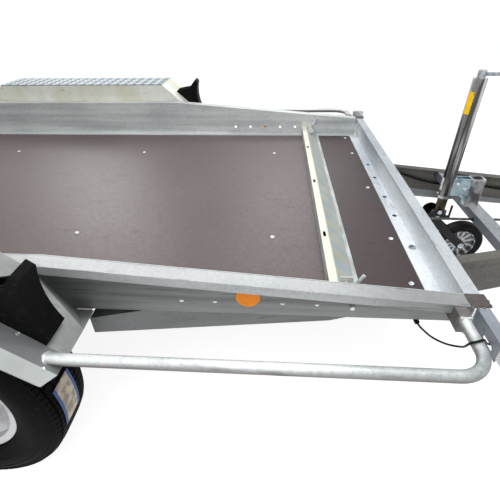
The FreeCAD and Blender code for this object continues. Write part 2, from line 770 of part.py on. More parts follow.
def fork_plate(y0):
    """One cheek of the fork, from its large round head down to the wheel's pin."""
    head = Vector(JACK_X - FORK_HEAD_BACK, y0, crown_z() + CROWN_H / 2)
    eye = Vector(JACK_X + JACK_TRAIL, y0, jockey_wheel_z())
    root = head - Vector(0, 0, FORK_HEAD_R - FORK_ARM_R)
    run = eye - root
    angle_a = math.atan2(run.z, run.x)
    length = math.hypot(run.x, run.z)
    lean = math.acos((FORK_ARM_R - FORK_EYE_R) / length)
    points = []
    for turn in (lean, -lean):
        c = math.cos(angle_a + turn)
        s = math.sin(angle_a + turn)
        points.append(((root.x + FORK_ARM_R * c, root.z + FORK_ARM_R * s),
                       (eye.x + FORK_EYE_R * c, eye.z + FORK_EYE_R * s)))
    (a0, a1), (b0, b1) = points
    web = prism_y([a0, a1, b1, b0], y0, y0 + FORK_T)
    top = rod(head, Y_AXIS, FORK_HEAD_R, FORK_T)
    foot = rod(eye, Y_AXIS, FORK_EYE_R, FORK_T)
    return web.fuse([top, foot])


def crown_z():
    return JACK_BOTTOM_Z - CROWN_DROP - SEAT_GAP - CROWN_H


def jockey_fork():
    """Round crown, two cheeks, the pin on which the wheel turns and the catch lever."""
    inner = JACK_WHEEL_W / 2 + FORK_GAP
    crown = rod(Vector(JACK_X, 0, crown_z()), Z_AXIS, CROWN_R, CROWN_H)
    cheeks = [fork_plate(inner), fork_plate(-inner - FORK_T)]
    half = inner + FORK_T
    bridge = box(JACK_X - CROWN_H / 2, JACK_X + CROWN_H / 2, -half, half,
                 crown_z() + CROWN_H / 2, crown_z() + CROWN_H)
    pin = rod(Vector(JACK_X + JACK_TRAIL, -half - FORK_T, jockey_wheel_z()), Y_AXIS,
              JACK_PIN_R, half + half + FORK_T + FORK_T)
    lever_x = JACK_X + FORK_LEVER_OUT
    middle = crown_z() + CROWN_H / 2
    ear = box(JACK_X, lever_x + FORK_LEVER_R, -half, -inner, middle - FORK_EAR_H / 2,
              middle + FORK_EAR_H / 2)
    lever = rod(Vector(lever_x, -half, middle), Z_AXIS, FORK_LEVER_R, FORK_LEVER_L)
    return crown.fuse(cheeks + [bridge, pin, ear, lever]).removeSplitter()


def jockey_rim():
    """Plain disc wheel with a long hub."""
    half = JACK_WHEEL_W / 2
    bore = JACK_PIN_R + JACK_BORE_GAP
    points = [(bore, -half), (JACK_HUB_R, -half), (JACK_HUB_R, -JACK_WEB_HALF),
              (JACK_RIM_R - SHEET, -JACK_WEB_HALF), (JACK_RIM_R - SHEET, -half + SHEET),
              (JACK_RIM_R, -half + SHEET), (JACK_RIM_R, half - SHEET),
              (JACK_RIM_R - SHEET, half - SHEET), (JACK_RIM_R - SHEET, JACK_WEB_HALF),
              (JACK_HUB_R, JACK_WEB_HALF), (JACK_HUB_R, half), (bore, half)]
    return turned(points, Vector(JACK_X + JACK_TRAIL, 0, jockey_wheel_z()), Y_AXIS)


def jockey_tyre():
    half = JACK_WHEEL_W / 2
    shoulder = JACK_WHEEL_R - JACK_SHOULDER
    inner = JACK_RIM_R + SEAT_GAP
    points = [(inner, -half + SHEET), (inner + SHEET, -half), (shoulder, -half),
              (JACK_WHEEL_R, -JACK_TREAD_HALF), (JACK_WHEEL_R, JACK_TREAD_HALF), (shoulder, half),
              (inner + SHEET, half), (inner, half - SHEET)]
    return turned(points, Vector(JACK_X + JACK_TRAIL, 0, jockey_wheel_z()), Y_AXIS)


def tyre(centre, axis):
    """Closed ring with beads between the rim's flanges, bulged walls and a flat crown."""
    half = TYRE_W / 2
    bead = RIM_W / 2 - SEAT_GAP
    wall = TYRE_R - BEAD_R
    clear = RIM_R + SHEET
    points = [(BEAD_R, -bead), (clear, -bead), (clear, -bead - RIM_LIP)]
    points += [(BEAD_R + wall * up, -half * out) for up, out in TYRE_WALL_SHARES]
    points += [(radius, -along) for radius, along in reversed(points)]
    return turned(points, centre, axis)


def rim(centre, axis):
    """Pressed steel wheel: well-base barrel, dished disc with slots, hub, drum and cap."""
    half = RIM_W / 2
    well = RIM_WELL_HALF
    seat = BEAD_R - SEAT_GAP
    flat0 = DISC_OFFSET - DISC_T
    flat1 = DISC_OFFSET
    dish = DISC_OFFSET + DISC_DISH
    drum0 = DRUM_GAP - DRUM_L
    bore = STUB_R + STUB_GAP
    barrel = [(RIM_R - RIM_T, -half - RIM_T), (RIM_R, -half - RIM_T), (RIM_R, -half),
              (seat, -half), (seat, -half + well), (RIM_WELL_R, -well), (RIM_WELL_R, well),
              (seat, half - well), (seat, half), (RIM_R, half), (RIM_R, half + RIM_T),
              (RIM_R - RIM_T, half + RIM_T), (seat - RIM_T, half), (seat - RIM_T, half - well),
              (RIM_WELL_R - RIM_T, well), (RIM_WELL_R - RIM_T, -well),
              (seat - RIM_T, -half + well), (seat - RIM_T, -half)]
    disc = [(HUB_R, flat0), (DISC_FLAT_R, flat0), (RIM_SLOT_R, dish - DISC_T),
            (RIM_WELL_R - RIM_T, well - DISC_T), (RIM_WELL_R - RIM_T, well),
            (RIM_SLOT_R, dish), (DISC_FLAT_R, flat1), (HUB_R, flat1)]
    drum = [(bore, drum0), (DRUM_R, drum0), (DRUM_R, flat0 - DISC_T), (HUB_FOOT_R, flat0),
            (HUB_R, flat0), (HUB_R, flat1 + HUB_CAP_L), (0, flat1 + HUB_CAP_L),
            (0, flat1 + HUB_CAP_HOLLOW), (bore, flat1 + HUB_CAP_HOLLOW)]
    wheel = turned(barrel, Vector(0, 0, 0), Z_AXIS)
    face = turned(disc, Vector(0, 0, 0), Z_AXIS)
    for index in range(RIM_SLOTS):
        angle = FULL_TURN * index / RIM_SLOTS
        slot = box(RIM_SLOT_R - RIM_SLOT_W / 2, RIM_SLOT_R + RIM_SLOT_W / 2,
                   -RIM_SLOT_L / 2, RIM_SLOT_L / 2, -half, half + OVERRUN)
        slot.rotate(Vector(0, 0, 0), Z_AXIS, angle)
        face = face.cut(slot)
    whole = wheel.fuse([face, turned(drum, Vector(0, 0, 0), Z_AXIS)])
    whole.Placement = FreeCAD.Placement(centre, FreeCAD.Rotation(Z_AXIS, axis))
    return whole


def fender_outline(y, tip, drop, inset):
    """The fender's side outline at one y: sloped ends, level top; drop lowers its own top."""
    low_x = FENDER_MID_X - FENDER_FRONT_X - tip
    top_x = FENDER_MID_X - FENDER_TOP_X
    top = FENDER_TOP_Z - drop
    if drop:
        top_x += BEVEL_CORNER
    lean = math.atan2(low_x - top_x, top - FENDER_LOW_Z)
    below = OVERRUN if inset else 0
    wide = low_x - inset / math.cos(lean) + below * math.tan(lean)
    narrow = top_x - inset * math.tan(math.pi / 4 - lean / 2)
    points = [(wide, FENDER_LOW_Z - below), (narrow, top - inset),
              (-narrow, top - inset), (-wide, FENDER_LOW_Z - below)]
    return outline([Vector(x - FENDER_MID_X, y, z) for x, z in points])


def fender_block(inset):
    """The space inside the fender's outer faces, moved inward by one distance."""
    y0 = FENDER_IN_Y + inset
    flat = Part.makeLoft([fender_outline(y0, 0, 0, inset),
                          fender_outline(FENDER_FOLD_Y, 0, 0, inset)], True, True)
    bevel = Part.makeLoft([fender_outline(FENDER_FOLD_Y, 0, 0, inset),
                           fender_outline(FENDER_OUT_Y, BEVEL_TIP, FENDER_BEVEL, inset)],
                          True, True)
    return flat.fuse(bevel)


def fender_flap():
    """The corner of the front slope that is folded down to the rail's foot, in two facets."""
    run = (FENDER_TOP_X - FENDER_FRONT_X) / (FENDER_TOP_Z - FENDER_LOW_Z)
    top = Vector(-FENDER_FRONT_X - FLAP_TOP_L, FENDER_IN_Y, FENDER_LOW_Z + FLAP_TOP_L / run)
    front = Vector(-FENDER_FRONT_X, FLAP_FRONT_Y, FENDER_LOW_Z)
    foot = Vector(-FENDER_FRONT_X - FLAP_LOW_L, BED_HALF + SHEET, -FLAP_DROP)
    heel = foot - Vector(FLAP_FOOT_L, 0, 0)
    down = (front - top).cross(heel - top)
    down.normalize()
    facets = [Part.Face(outline(points)).extrude(down * SHEET)
              for points in ([top, front, heel], [front, foot, heel])]
    return facets[0].fuse(facets[1])


def fender_corner():
    """What the folded corner takes away from the slope and the inner wall."""
    x0 = -FENDER_FRONT_X - FLAP_TOP_L
    x1 = -FENDER_FRONT_X
    points = [(x0, FENDER_IN_Y), (x1, FLAP_FRONT_Y), (x1 + OVERRUN, FLAP_FRONT_Y),
              (x1 + OVERRUN, FENDER_IN_Y - OVERRUN), (x0, FENDER_IN_Y - OVERRUN)]
    return prism_z(points, FENDER_LOW_Z - OVERRUN, FENDER_TOP_Z + OVERRUN)


def swung_end(shape):
    """The same shape at the fender's rear end."""
    return shape.mirror(Vector(-FENDER_MID_X, 0, 0), X_AXIS)


def fender():
    """Folded mudguard over both wheels: sloped ends, level top and a bevel outside."""
    shell = fender_block(0)
    void = fender_block(SHEET)
    half = FENDER_MID_X - FENDER_TOP_X
    strip = box(-FENDER_MID_X - half, -FENDER_MID_X + half, BED_HALF + RAIL_FLANGE, FENDER_IN_Y,
                FENDER_STRIP_Z, FENDER_STRIP_Z + FENDER_STRIP_H)
    corner = fender_corner()
    flap = fender_flap()
    shell = shell.cut([void, corner, swung_end(corner)])
    return shell.fuse([strip, flap, swung_end(flap)]).removeSplitter()


def slope_placement():
    """Puts a shape on the front slope: local x climbs the slope, local z stands off it."""
    run = Vector(FENDER_FRONT_X - FENDER_TOP_X, 0, FENDER_TOP_Z - FENDER_LOW_Z)
    angle = -math.degrees(math.atan2(run.z, run.x))
    rise = CHOCK_TOE_Z - FENDER_LOW_Z
    foot = Vector(-FENDER_FRONT_X + run.x / run.z * rise, CHOCK_Y, CHOCK_TOE_Z)
    turn = FreeCAD.Rotation(Y_AXIS, angle)
    flip = FreeCAD.Rotation(X_AXIS, FULL_TURN / 2)
    return FreeCAD.Placement(foot, turn.multiply(flip))


def is_heel_edge(room):
    """The two long edges of the chock's flat top."""
    return room.ZMin > CHOCK_H - SEAT_GAP and room.XLength > CHOCK_HEEL_L / 2


def wheel_chock():
    """A plastic chock: hollow face for the tyre, high heel with rounded top edges."""
    toe = Vector(0, 0, CHOCK_TOE_H)
    heel = Vector(CHOCK_L - CHOCK_HEEL_L, 0, CHOCK_H)
    middle = (toe + heel) / 2
    chord = heel - toe
    sag = CHOCK_HOLLOW_R - math.sqrt(CHOCK_HOLLOW_R ** 2 - (chord.Length / 2) ** 2)
    across = Vector(chord.z, 0, -chord.x)
    across.normalize()
    face = Part.Arc(toe, middle + across * sag, heel).toShape()
    corners = [heel, Vector(CHOCK_L, 0, CHOCK_H), Vector(CHOCK_L, 0, 0), Vector(0, 0, 0), toe]
    rest = Part.makePolygon(corners)
    solid = Part.Face(Part.Wire([face] + rest.Edges)).extrude(Vector(0, CHOCK_W, 0))
    edges = [edge for edge in solid.Edges if is_heel_edge(edge.BoundBox)]
    solid = solid.makeFillet(CHOCK_EDGE_R, edges)
    solid.translate(Vector(0, -CHOCK_W / 2, SEAT_GAP + HOLDER_T))
    solid.Placement = slope_placement().multiply(solid.Placement)
    return solid


def chock_holder():
    """The holder bolted to the slope: base plate, heel wall and ribs under the chock."""
    half = CHOCK_W / 2
    back = CHOCK_L + SEAT_GAP
    plate = box(0, back + HOLDER_L, -half, half, 0, HOLDER_T)
    wall = box(back, back + HOLDER_T, -half, half, 0, HOLDER_H)
    ribs = []
    pitch = (CHOCK_W - HOLDER_T) / (HOLDER_RIBS - 1)
    for index in range(HOLDER_RIBS):
        y = -half + index * pitch
        points = [(back, 0), (back + HOLDER_L, 0), (back + HOLDER_L, HOLDER_TOE_H),
                  (back + HOLDER_T, HOLDER_H), (back, HOLDER_H)]
        ribs.append(prism_y(points, y, y + HOLDER_T))
    solid = plate.fuse([wall] + ribs).removeSplitter()
    solid.Placement = slope_placement()
    return solid


def guard_path():
    """Along the bed, round the bend and in to the header's corner."""
    bend_y = GUARD_Y - GUARD_BEND_R
    bend_x = GUARD_LEG_X - GUARD_BEND_R
    start = Vector(-FENDER_FRONT_X - OVERRUN, GUARD_Y, GUARD_Z)
    turn_in = Vector(bend_x, GUARD_Y, GUARD_Z)
    diagonal = GUARD_BEND_R * math.cos(math.pi / 4)
    middle = Vector(bend_x + diagonal, bend_y + diagonal, GUARD_Z)
    turn_out = Vector(GUARD_LEG_X, bend_y, GUARD_Z)
    end = Vector(GUARD_LEG_X, BED_HALF + SHEET + GUARD_BLOCK_L + GUARD_BLOCK_OUT / 2, GUARD_Z)
    return start, turn_in, middle, turn_out, end


def guard_solid(radius):
    start, turn_in, middle, turn_out, end = guard_path()
    path = Part.Wire([Part.LineSegment(start, turn_in).toShape(),
                      Part.Arc(turn_in, middle, turn_out).toShape(),
                      Part.LineSegment(turn_out, end).toShape()])
    circle = Part.Wire([Part.makeCircle(radius, start, X_AXIS)])
    return path.makePipeShell([circle], True, False)


def guard_tube():
    """Bent round tube from the fender's slope to a plate at the header's corner."""
    tube = guard_solid(GUARD_R).cut(guard_solid(GUARD_R - GUARD_WALL))
    tube = tube.cut(fender_block(0))
    x0 = GUARD_LEG_X - GUARD_BLOCK_W / 2
    x1 = GUARD_LEG_X + GUARD_BLOCK_W / 2
    y0 = BED_HALF + SHEET
    y1 = y0 + GUARD_BLOCK_L
    inner = box(x0, x1, y0, y1, GUARD_BLOCK_Z, GUARD_BLOCK_Z + GUARD_BLOCK_H)
    outer = box(x0, x1, y1, y1 + GUARD_BLOCK_OUT, GUARD_BLOCK_Z, GUARD_Z + GUARD_R)
    return tube.fuse([inner, outer]).removeSplitter()


def stop_bar():
    """A folded wheel stop: upright back, level top, sloping front and foot."""
    inner_top = STOP_H - SHEET
    over = [(-STOP_REAR_X, 0), (-STOP_REAR_X, STOP_H), (-STOP_REAR_X + STOP_TOP_W, STOP_H),
            (-STOP_FRONT_X - STOP_FOOT, SHEET), (-STOP_FRONT_X, SHEET), (-STOP_FRONT_X, 0)]
    under = [(-STOP_FRONT_X - STOP_FOOT - SHEET, 0),
             (-STOP_REAR_X + STOP_TOP_W - SHEET / 2, inner_top),
             (-STOP_REAR_X + SHEET, inner_top), (-STOP_REAR_X + SHEET, 0)]
    half = BED_HALF - SEAT_GAP
    bar = prism_y(over + under, -half, half)
    foot = BED_HALF - RAIL_FOOT - SEAT_GAP
    ear = box(-STOP_REAR_X, -STOP_REAR_X + STOP_EAR_L, half - SHEET, half, 0, STOP_EAR_H)
    step = box(-STOP_REAR_X - OVERRUN, -STOP_FRONT_X + OVERRUN, foot, half + SHEET,
               -OVERRUN, SHEET + SEAT_GAP)
    inner = half - LATCH_SPAN
    guide = box(-RAIL_HOLE_FIRST - LATCH_GUIDE_W / 2, -RAIL_HOLE_FIRST + LATCH_GUIDE_W / 2,
                inner - SHEET, inner, inner_top / 2, RAIL_HOLE_Z + LATCH_GUIDE_W / 2)
    guide = guide.cut(prism_y(under, inner - SHEET, inner))
    hole = rod(Vector(-RAIL_HOLE_FIRST, inner - OVERRUN, RAIL_HOLE_Z), Y_AXIS,
               LATCH_R + SEAT_GAP, LATCH_SPAN + OVERRUN + OVERRUN)
    bar = bar.fuse([ear, mirrored(ear), guide, mirrored(guide)])
    for cut in (step, hole):
        bar = bar.cut(cut).cut(mirrored(cut))
    slot_x = -STOP_REAR_X + STOP_TOP_W / 2
    for y in (-STOP_SLOT_PITCH, 0, STOP_SLOT_PITCH):
        bar = bar.cut(box(slot_x - STOP_SLOT_W / 2, slot_x + STOP_SLOT_W / 2,
                          y - STOP_SLOT_L / 2, y + STOP_SLOT_L / 2,
                          inner_top - OVERRUN, STOP_H + OVERRUN))
    return bar


def latch():
    """A sliding bolt through the stop bar's guide and ear and the rail's front hole."""
    y0 = BED_HALF - LATCH_SPAN - LATCH_END
    y1 = BED_HALF + SHEET + LATCH_END
    middle = BED_HALF - LATCH_SPAN / 2
    bolt = rod(Vector(-RAIL_HOLE_FIRST, y0, RAIL_HOLE_Z), Y_AXIS, LATCH_R, y1 - y0)
    boss = rod(Vector(-RAIL_HOLE_FIRST, middle - LATCH_BOSS_L / 2, RAIL_HOLE_Z), Y_AXIS,
               LATCH_BOSS_R, LATCH_BOSS_L)
    lean = math.radians(LATCH_LEAN)
    lever = rod(Vector(-RAIL_HOLE_FIRST, middle, RAIL_HOLE_Z),
                Vector(math.sin(lean), 0, math.cos(lean)), LATCH_LEVER_R, LATCH_LEVER_L)
    return bolt.fuse([boss, lever])


def reflector():
    x = -RAIL_HOLE_FIRST - REFLECTOR_HOLE * RAIL_HOLE_PITCH
    return rod(Vector(x, BED_HALF + SHEET, REFLECTOR_Z), Y_AXIS, REFLECTOR_R, REFLECTOR_T)


def rear_beam():
    """Channel across the back, with the lugs that hold the ramps' hinge pins."""
    x1 = -BED_L
    x0 = x1 - REAR_BEAM_D
    low = -BOARD_T - REAR_BEAM_H
    outer = box(x0, x1, -REAR_BEAM_HALF, REAR_BEAM_HALF, low, -BOARD_T)
    inner = box(x0 + SHEET, x1 + OVERRUN, -REAR_BEAM_HALF, REAR_BEAM_HALF, low + SHEET,
                -BOARD_T - SHEET)
    beam = outer.cut(inner)
    pieces = []
    for y in ramp_eye_places():
        for offset in (-RAMP_EYE_W / 2 - LUG_T - SEAT_GAP, RAMP_EYE_W / 2 + SEAT_GAP):
            eye = rod(Vector(-RAMP_HINGE_X, y + offset, RAMP_HINGE_Z), Y_AXIS, RAMP_EYE_R, LUG_T)
            web = box(-RAMP_HINGE_X, x0, y + offset, y + offset + LUG_T,
                      RAMP_HINGE_Z - RAMP_EYE_R, RAMP_HINGE_Z + RAMP_EYE_R)
            web = web.common(box(-RAMP_HINGE_X, x0, y + offset, y + offset + LUG_T,
                                 low, -BOARD_T + RAMP_EYE_R))
            pieces += [eye, web]
        start = Vector(-RAMP_HINGE_X, y - RAMP_EYE_W / 2 - LUG_T - SEAT_GAP, RAMP_HINGE_Z)
        pieces.append(rod(start, Y_AXIS, RAMP_HINGE_R,
                          RAMP_EYE_W + LUG_T + LUG_T + SEAT_GAP + SEAT_GAP))
    return beam.fuse(pieces).removeSplitter()


def ramp_eye_places():
    inner = RAMP_Y - RAMP_W / 2 + RAMP_EYE_INSET
    outer = RAMP_Y + RAMP_W / 2 - RAMP_EYE_INSET
    return [inner, outer, -inner, -outer]


def ramp():
    """Ladder ramp standing on its hinge: two channels, rungs and the hinge eyes."""
    low = RAMP_HINGE_Z + RAMP_START
    x0 = -RAMP_HINGE_X - RAMP_T / 2
    x1 = -RAMP_HINGE_X + RAMP_T / 2
    y0 = RAMP_Y - RAMP_W / 2
    y1 = RAMP_Y + RAMP_W / 2
    pieces = []
    for y, inward in ((y0, SHEET), (y1 - RAMP_RAIL_W, -SHEET)):
        hollow = box(x0 + SHEET, x1 - SHEET, y + inward, y + RAMP_RAIL_W + inward,
                     low - OVERRUN, low + RAMP_L + OVERRUN)
        pieces.append(box(x0, x1, y, y + RAMP_RAIL_W, low, low + RAMP_L).cut(hollow))
    pitch = (RAMP_L - RAMP_RUNG_W) / (RAMP_RUNGS - 1)
    for index in range(RAMP_RUNGS):
        z = low + index * pitch
        hollow = box(x1 - RAMP_RUNG_T, x1 - SHEET, y0, y1, z + SHEET, z + RAMP_RUNG_W - SHEET)
        pieces.append(box(x1 - RAMP_RUNG_T, x1, y0, y1, z, z + RAMP_RUNG_W).cut(hollow))
    bore = RAMP_HINGE_R + RAMP_EYE_GAP
    cuts = []
    for y in ramp_eye_places()[:2]:
        eye = rod(Vector(-RAMP_HINGE_X, y - RAMP_EYE_W / 2, RAMP_HINGE_Z), Y_AXIS,
                  RAMP_EYE_R, RAMP_EYE_W)
        neck = box(-RAMP_HINGE_X - RAMP_EYE_R, -RAMP_HINGE_X + RAMP_EYE_R,
                   y - RAMP_EYE_W / 2, y + RAMP_EYE_W / 2, RAMP_HINGE_Z, low + RAMP_RUNG_W)
        pieces += [eye, neck]
        cuts.append(rod(Vector(-RAMP_HINGE_X, y - RAMP_EYE_W, RAMP_HINGE_Z), Y_AXIS,
                        bore, RAMP_EYE_W + RAMP_EYE_W))
    solid = pieces[0].fuse(pieces[1:])
    for cut in cuts:
        solid = solid.cut(cut)
    return solid.removeSplitter()


def prop_stand():
    """Square leg folded up along the frame, with its foot plate at the front end."""
    z = -LEG_PIVOT_DROP
    half = LEG_SIZE / 2
    x1 = -LEG_PIVOT_X + LEG_L
    leg = box(-LEG_PIVOT_X, x1, LEG_Y - half, LEG_Y + half, z - half, z + half)
    eye = rod(Vector(-LEG_PIVOT_X, LEG_Y - half, z), Y_AXIS, half, LEG_SIZE)
    foot = box(x1, x1 + LEG_FOOT_T, LEG_Y - LEG_FOOT_W / 2, LEG_Y + LEG_FOOT_W / 2,
               z - half - LEG_FOOT_T, z + half - LEG_FOOT_T)
    bore = rod(Vector(-LEG_PIVOT_X, LEG_Y - LEG_SIZE, z), Y_AXIS, LEG_PIN_R + RAMP_EYE_GAP,
               LEG_SIZE + LEG_SIZE)
    return leg.fuse([eye, foot]).cut(bore).removeSplitter()


def rear_lamp():
    y1 = REAR_BEAM_HALF
    y0 = y1 - REAR_LAMP_L
    x1 = -BED_L - REAR_BEAM_D
    z1 = -BOARD_T
    lamp = box(x1 - REAR_LAMP_T, x1, y0, y1, z1 - REAR_LAMP_H, z1)
    edges = [edge for edge in lamp.Edges if edge.BoundBox.XLength > REAR_LAMP_T / 2]
    return lamp.makeFillet(REAR_LAMP_EDGE, edges)


def cable_tube(points, radius):
    """A round cable along straight runs that are joined by tangent arcs."""
    edges = []
    radii = []
    last = points[0]
    for before, corner, after in zip(points, points[1:], points[2:]):
        into = corner - before
        out = after - corner
        half = into.getAngle(out) / 2
        reach = CABLE_BEND_SHARE * min(into.Length, out.Length)
        bend = reach / math.tan(half)
        start = corner - into * (reach / into.Length)
        end = corner + out * (reach / out.Length)
        chord = (start + end) / 2
        sag = bend / math.cos(half) - bend
        middle = corner + (chord - corner) * (sag / (chord - corner).Length)
        edges.append(Part.LineSegment(last, start).toShape())
        edges.append(Part.Arc(start, middle, end).toShape())
        radii.append(round(bend))
        last = end
    edges.append(Part.LineSegment(last, points[-1]).toShape())
    path = Part.Wire(edges)
    circle = Part.Wire([Part.makeCircle(radius, points[0], points[1] - points[0])])
    tube = path.makePipeShell([circle], True, False)
    share = tube.Volume / (math.pi * radius ** 2 * path.Length)
    print("cable", round(path.Length), "mm, radii", radii, "volume share", round(share, 3))
    return tube


# The lamp's cable, from its gland under the right rail to the slot in the lamp arm:
# x, how far out from the rail's inner face, and z of each point
LAMP_CABLE = [(-91, 0, -8), (-91, 13, -8), (-82, 26, -12), (-65, 43, -20), (-46, 64, -16),
              (-39, 90, 4), (-36, 117, 31), (-45, 139, 56), (-46, 152, 84), (-35, 157, 95),
              (-20, 150, 94), (-6, 138, 74), (9, 124, 53), (27, 124, 48), (40, 134, 53),
              (42, 152, 54)]

# The main loom, along the left drawbar arm from a bearer to its plug: x and z of each point
LOOM = [(20, -100), (70, -92), (135, -90), (215, -100), (300, -122), (390, -132), (480, -120),
        (570, -114), (665, -122), (760, -116), (860, -122), (960, -116), (1060, -120),
        (1150, -112)]


def loom_points():
    """The loom lies flat against the inner face of the arm's web."""
    inset = BAR_T + (LOOM_R + GLAND_WALL) * math.hypot(1, BAR_SLOPE)
    return [Vector(x, bar_outer_y(x) - inset, z) for x, z in LOOM]


def cable_fittings():
    """What both cables end in: a grommet and an entry for the lamp's, two clips for the loom."""
    pieces = []
    for points, radius in ((lamp_points(), CABLE_R), (loom_points(), LOOM_R)):
        for end, inward in ((points[0], points[1]), (points[-1], points[-2])):
            out = end - inward
            out.normalize()
            start = end - out * (GLAND_L / 2)
            pieces.append(pipe(start, out, radius + GLAND_WALL, radius, GLAND_L / 2))
            pieces[-1] = pieces[-1].fuse(rod(end, out, radius + GLAND_WALL, GLAND_L))
    return Part.makeCompound(pieces)


def lamp_points():
    return [Vector(x, -BED_HALF - out, z) for x, out, z in LAMP_CABLE]


def lamp_cable():
    return cable_tube(lamp_points(), CABLE_R)


def loom_cable():
    return cable_tube(loom_points(), LOOM_R)


NODES = {
    "deck_board": deck_board(),
    "side_rails": pair(side_rail()),
    "front_header": front_header(),
    "front_lamps": pair(front_lamp()),
    "floor_bearers": floor_bearers(),
    "chassis_beams": chassis_beams(),
    "axles": axles(),
    "drawbar_arms": pair(drawbar_arm()),
    "drawbar_strut": drawbar_strut(),
    "brake_linkage": Part.makeCompound([brake_rod(), handbrake_lever()]),
    "overrun_housing": overrun_housing(),
    "drawbar_bellows": drawbar_bellows(),
    "coupling_head": coupling_head(),
    "coupling_handle": coupling_handle(),
    "jockey_outer_tube": jockey_outer_tube(),
    "jockey_crank": jockey_crank(),
    "jockey_clamp": jockey_clamp(),
    "jockey_inner_tube": jockey_inner_tube(),
    "jockey_fork": jockey_fork(),
    "jockey_rim": jockey_rim(),
    "jockey_tyre": jockey_tyre(),
    "fenders": pair(fender()),
    "wheel_chocks": pair(wheel_chock()),
    "chock_holders": pair(chock_holder()),
    "guard_tubes": pair(guard_tube()),
    "stop_bar": stop_bar(),
    "latch_pins": pair(latch()),
    "side_reflectors": pair(reflector()),
    "rear_beam": rear_beam(),
    "ramp_left": ramp(),
    "ramp_right": mirrored(ramp()),
    "prop_stand_left": prop_stand(),
    "prop_stand_right": mirrored(prop_stand()),
    "rear_lamps": pair(rear_lamp()),
    "cable_fittings": cable_fittings(),
    "lamp_cable": lamp_cable(),
    "loom_cable": loom_cable(),
}

for end_name, wheel_x in (("front", WHEEL_X), ("rear", REAR_WHEEL_X)):
    for side_name, sign in (("left", 1), ("right", -1)):
        centre = Vector(-wheel_x, sign * WHEEL_Y, WHEEL_Z)
        NODES["rim_" + end_name + "_" + side_name] = rim(centre, Y_AXIS * sign)
        NODES["tyre_" + end_name + "_" + side_name] = tyre(centre, Y_AXIS * sign)

for name, shape in NODES.items():
    placed = shape.copy()
    placed.translate(Vector(-MID_X, 0, DECK_H))
    placed.exportStep("parts/" + name + ".step")
    print(name, placed.isValid(), len(placed.Solids), round(placed.Volume / 1000))
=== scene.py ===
import math
import bpy
from mathutils import Matrix, Vector


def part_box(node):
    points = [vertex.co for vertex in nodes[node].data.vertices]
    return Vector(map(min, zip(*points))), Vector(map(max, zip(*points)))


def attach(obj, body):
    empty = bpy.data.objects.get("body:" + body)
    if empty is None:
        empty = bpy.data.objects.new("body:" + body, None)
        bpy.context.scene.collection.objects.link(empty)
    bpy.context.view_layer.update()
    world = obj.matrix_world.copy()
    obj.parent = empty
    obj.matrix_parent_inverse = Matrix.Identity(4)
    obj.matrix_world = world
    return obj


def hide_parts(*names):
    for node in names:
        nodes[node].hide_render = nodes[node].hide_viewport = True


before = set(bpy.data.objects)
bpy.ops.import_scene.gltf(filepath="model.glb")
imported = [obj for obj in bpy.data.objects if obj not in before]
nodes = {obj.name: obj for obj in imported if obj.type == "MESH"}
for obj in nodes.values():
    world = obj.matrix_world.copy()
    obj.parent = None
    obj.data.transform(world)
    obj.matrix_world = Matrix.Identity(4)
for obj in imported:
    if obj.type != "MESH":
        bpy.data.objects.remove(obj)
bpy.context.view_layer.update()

# The trailer is measured from its header, as on a drawing: x grows forward from the
# header's inner top edge, y to the trailer's left from its centreline, z up from the deck,
# all in millimetres.
HEADER_TOP_W = 38.0
MM = 0.001
origin = Vector((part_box("front_header")[1].x - HEADER_TOP_W * MM, 0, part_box("deck_board")[1].z))


def at(x, y, z):
    """A point of the trailer's drawing, in the frame's metres."""
    return origin + Vector((x, y, z)) * MM


# The camera stands beside the right rail, 1.05 m above the ground, and looks across the bed
# to the left front corner.
CAMERA_PLACE = (-470, -1471, 700)
CAMERA_HEADING = 4.148
CAMERA_TILT = 55.176
CAMERA_ROLL = -1.009
SENSOR_W = 36.0
FOCAL_SHARE = 0.741
bpy.ops.object.camera_add()
camera = bpy.context.object
camera.data.sensor_width = SENSOR_W
camera.data.lens = SENSOR_W * FOCAL_SHARE
heading = Matrix.Rotation(math.radians(CAMERA_HEADING), 4, "Z")
tilt = Matrix.Rotation(math.radians(CAMERA_TILT), 4, "X")
roll = Matrix.Rotation(math.radians(CAMERA_ROLL), 4, "Z")
camera.matrix_world = Matrix.Translation(at(*CAMERA_PLACE)) @ heading @ tilt @ roll
bpy.context.scene.camera = camera
bpy.context.scene.view_settings.view_transform = "Standard"


class Signal:
    """A socket in a finish's node tree; sums and products of sockets add Math nodes."""

    def __init__(self, tree, socket):
        self.tree = tree
        self.socket = socket

    def node(self, kind, settings, sockets, output=0):
        """Adds one node: its type, its settings, and its sockets' values or links."""
        made = self.tree.nodes.new("ShaderNode" + kind)
        for name, value in settings.items():
            setattr(made, name, value)
        for name, value in sockets.items():
            if isinstance(value, Signal):
                self.tree.links.new(value.socket, made.inputs[name])
            else:
                made.inputs[name].default_value = value
        return Signal(self.tree, made.outputs[output])

    def maths(self, operation, first, second=0.0):
        return self.node("Math", {"operation": operation}, {0: first, 1: second})

    def either(self, other):
        """The larger of the two."""
        return self.maths("MAXIMUM", self, other)

    def __add__(self, other):
        return self.maths("ADD", self, other)

    def __sub__(self, other):
        return self.maths("SUBTRACT", self, other)

    def __rsub__(self, other):
        return self.maths("SUBTRACT", other, self)

    def __mul__(self, other):
        return self.maths("MULTIPLY", self, other)

    def __gt__(self, other):
        return self.maths("GREATER_THAN", self, other)

    def __lt__(self, other):
        return self.maths("LESS_THAN", self, other)

    __radd__ = __add__
    __rmul__ = __mul__


def tint(red, green, blue):
    """A colour as seen on a screen, from 0 to 255, as the shader's linear numbers."""
    return tuple((shade / 255) ** 2.2 for shade in (red, green, blue)) + (1.0,)


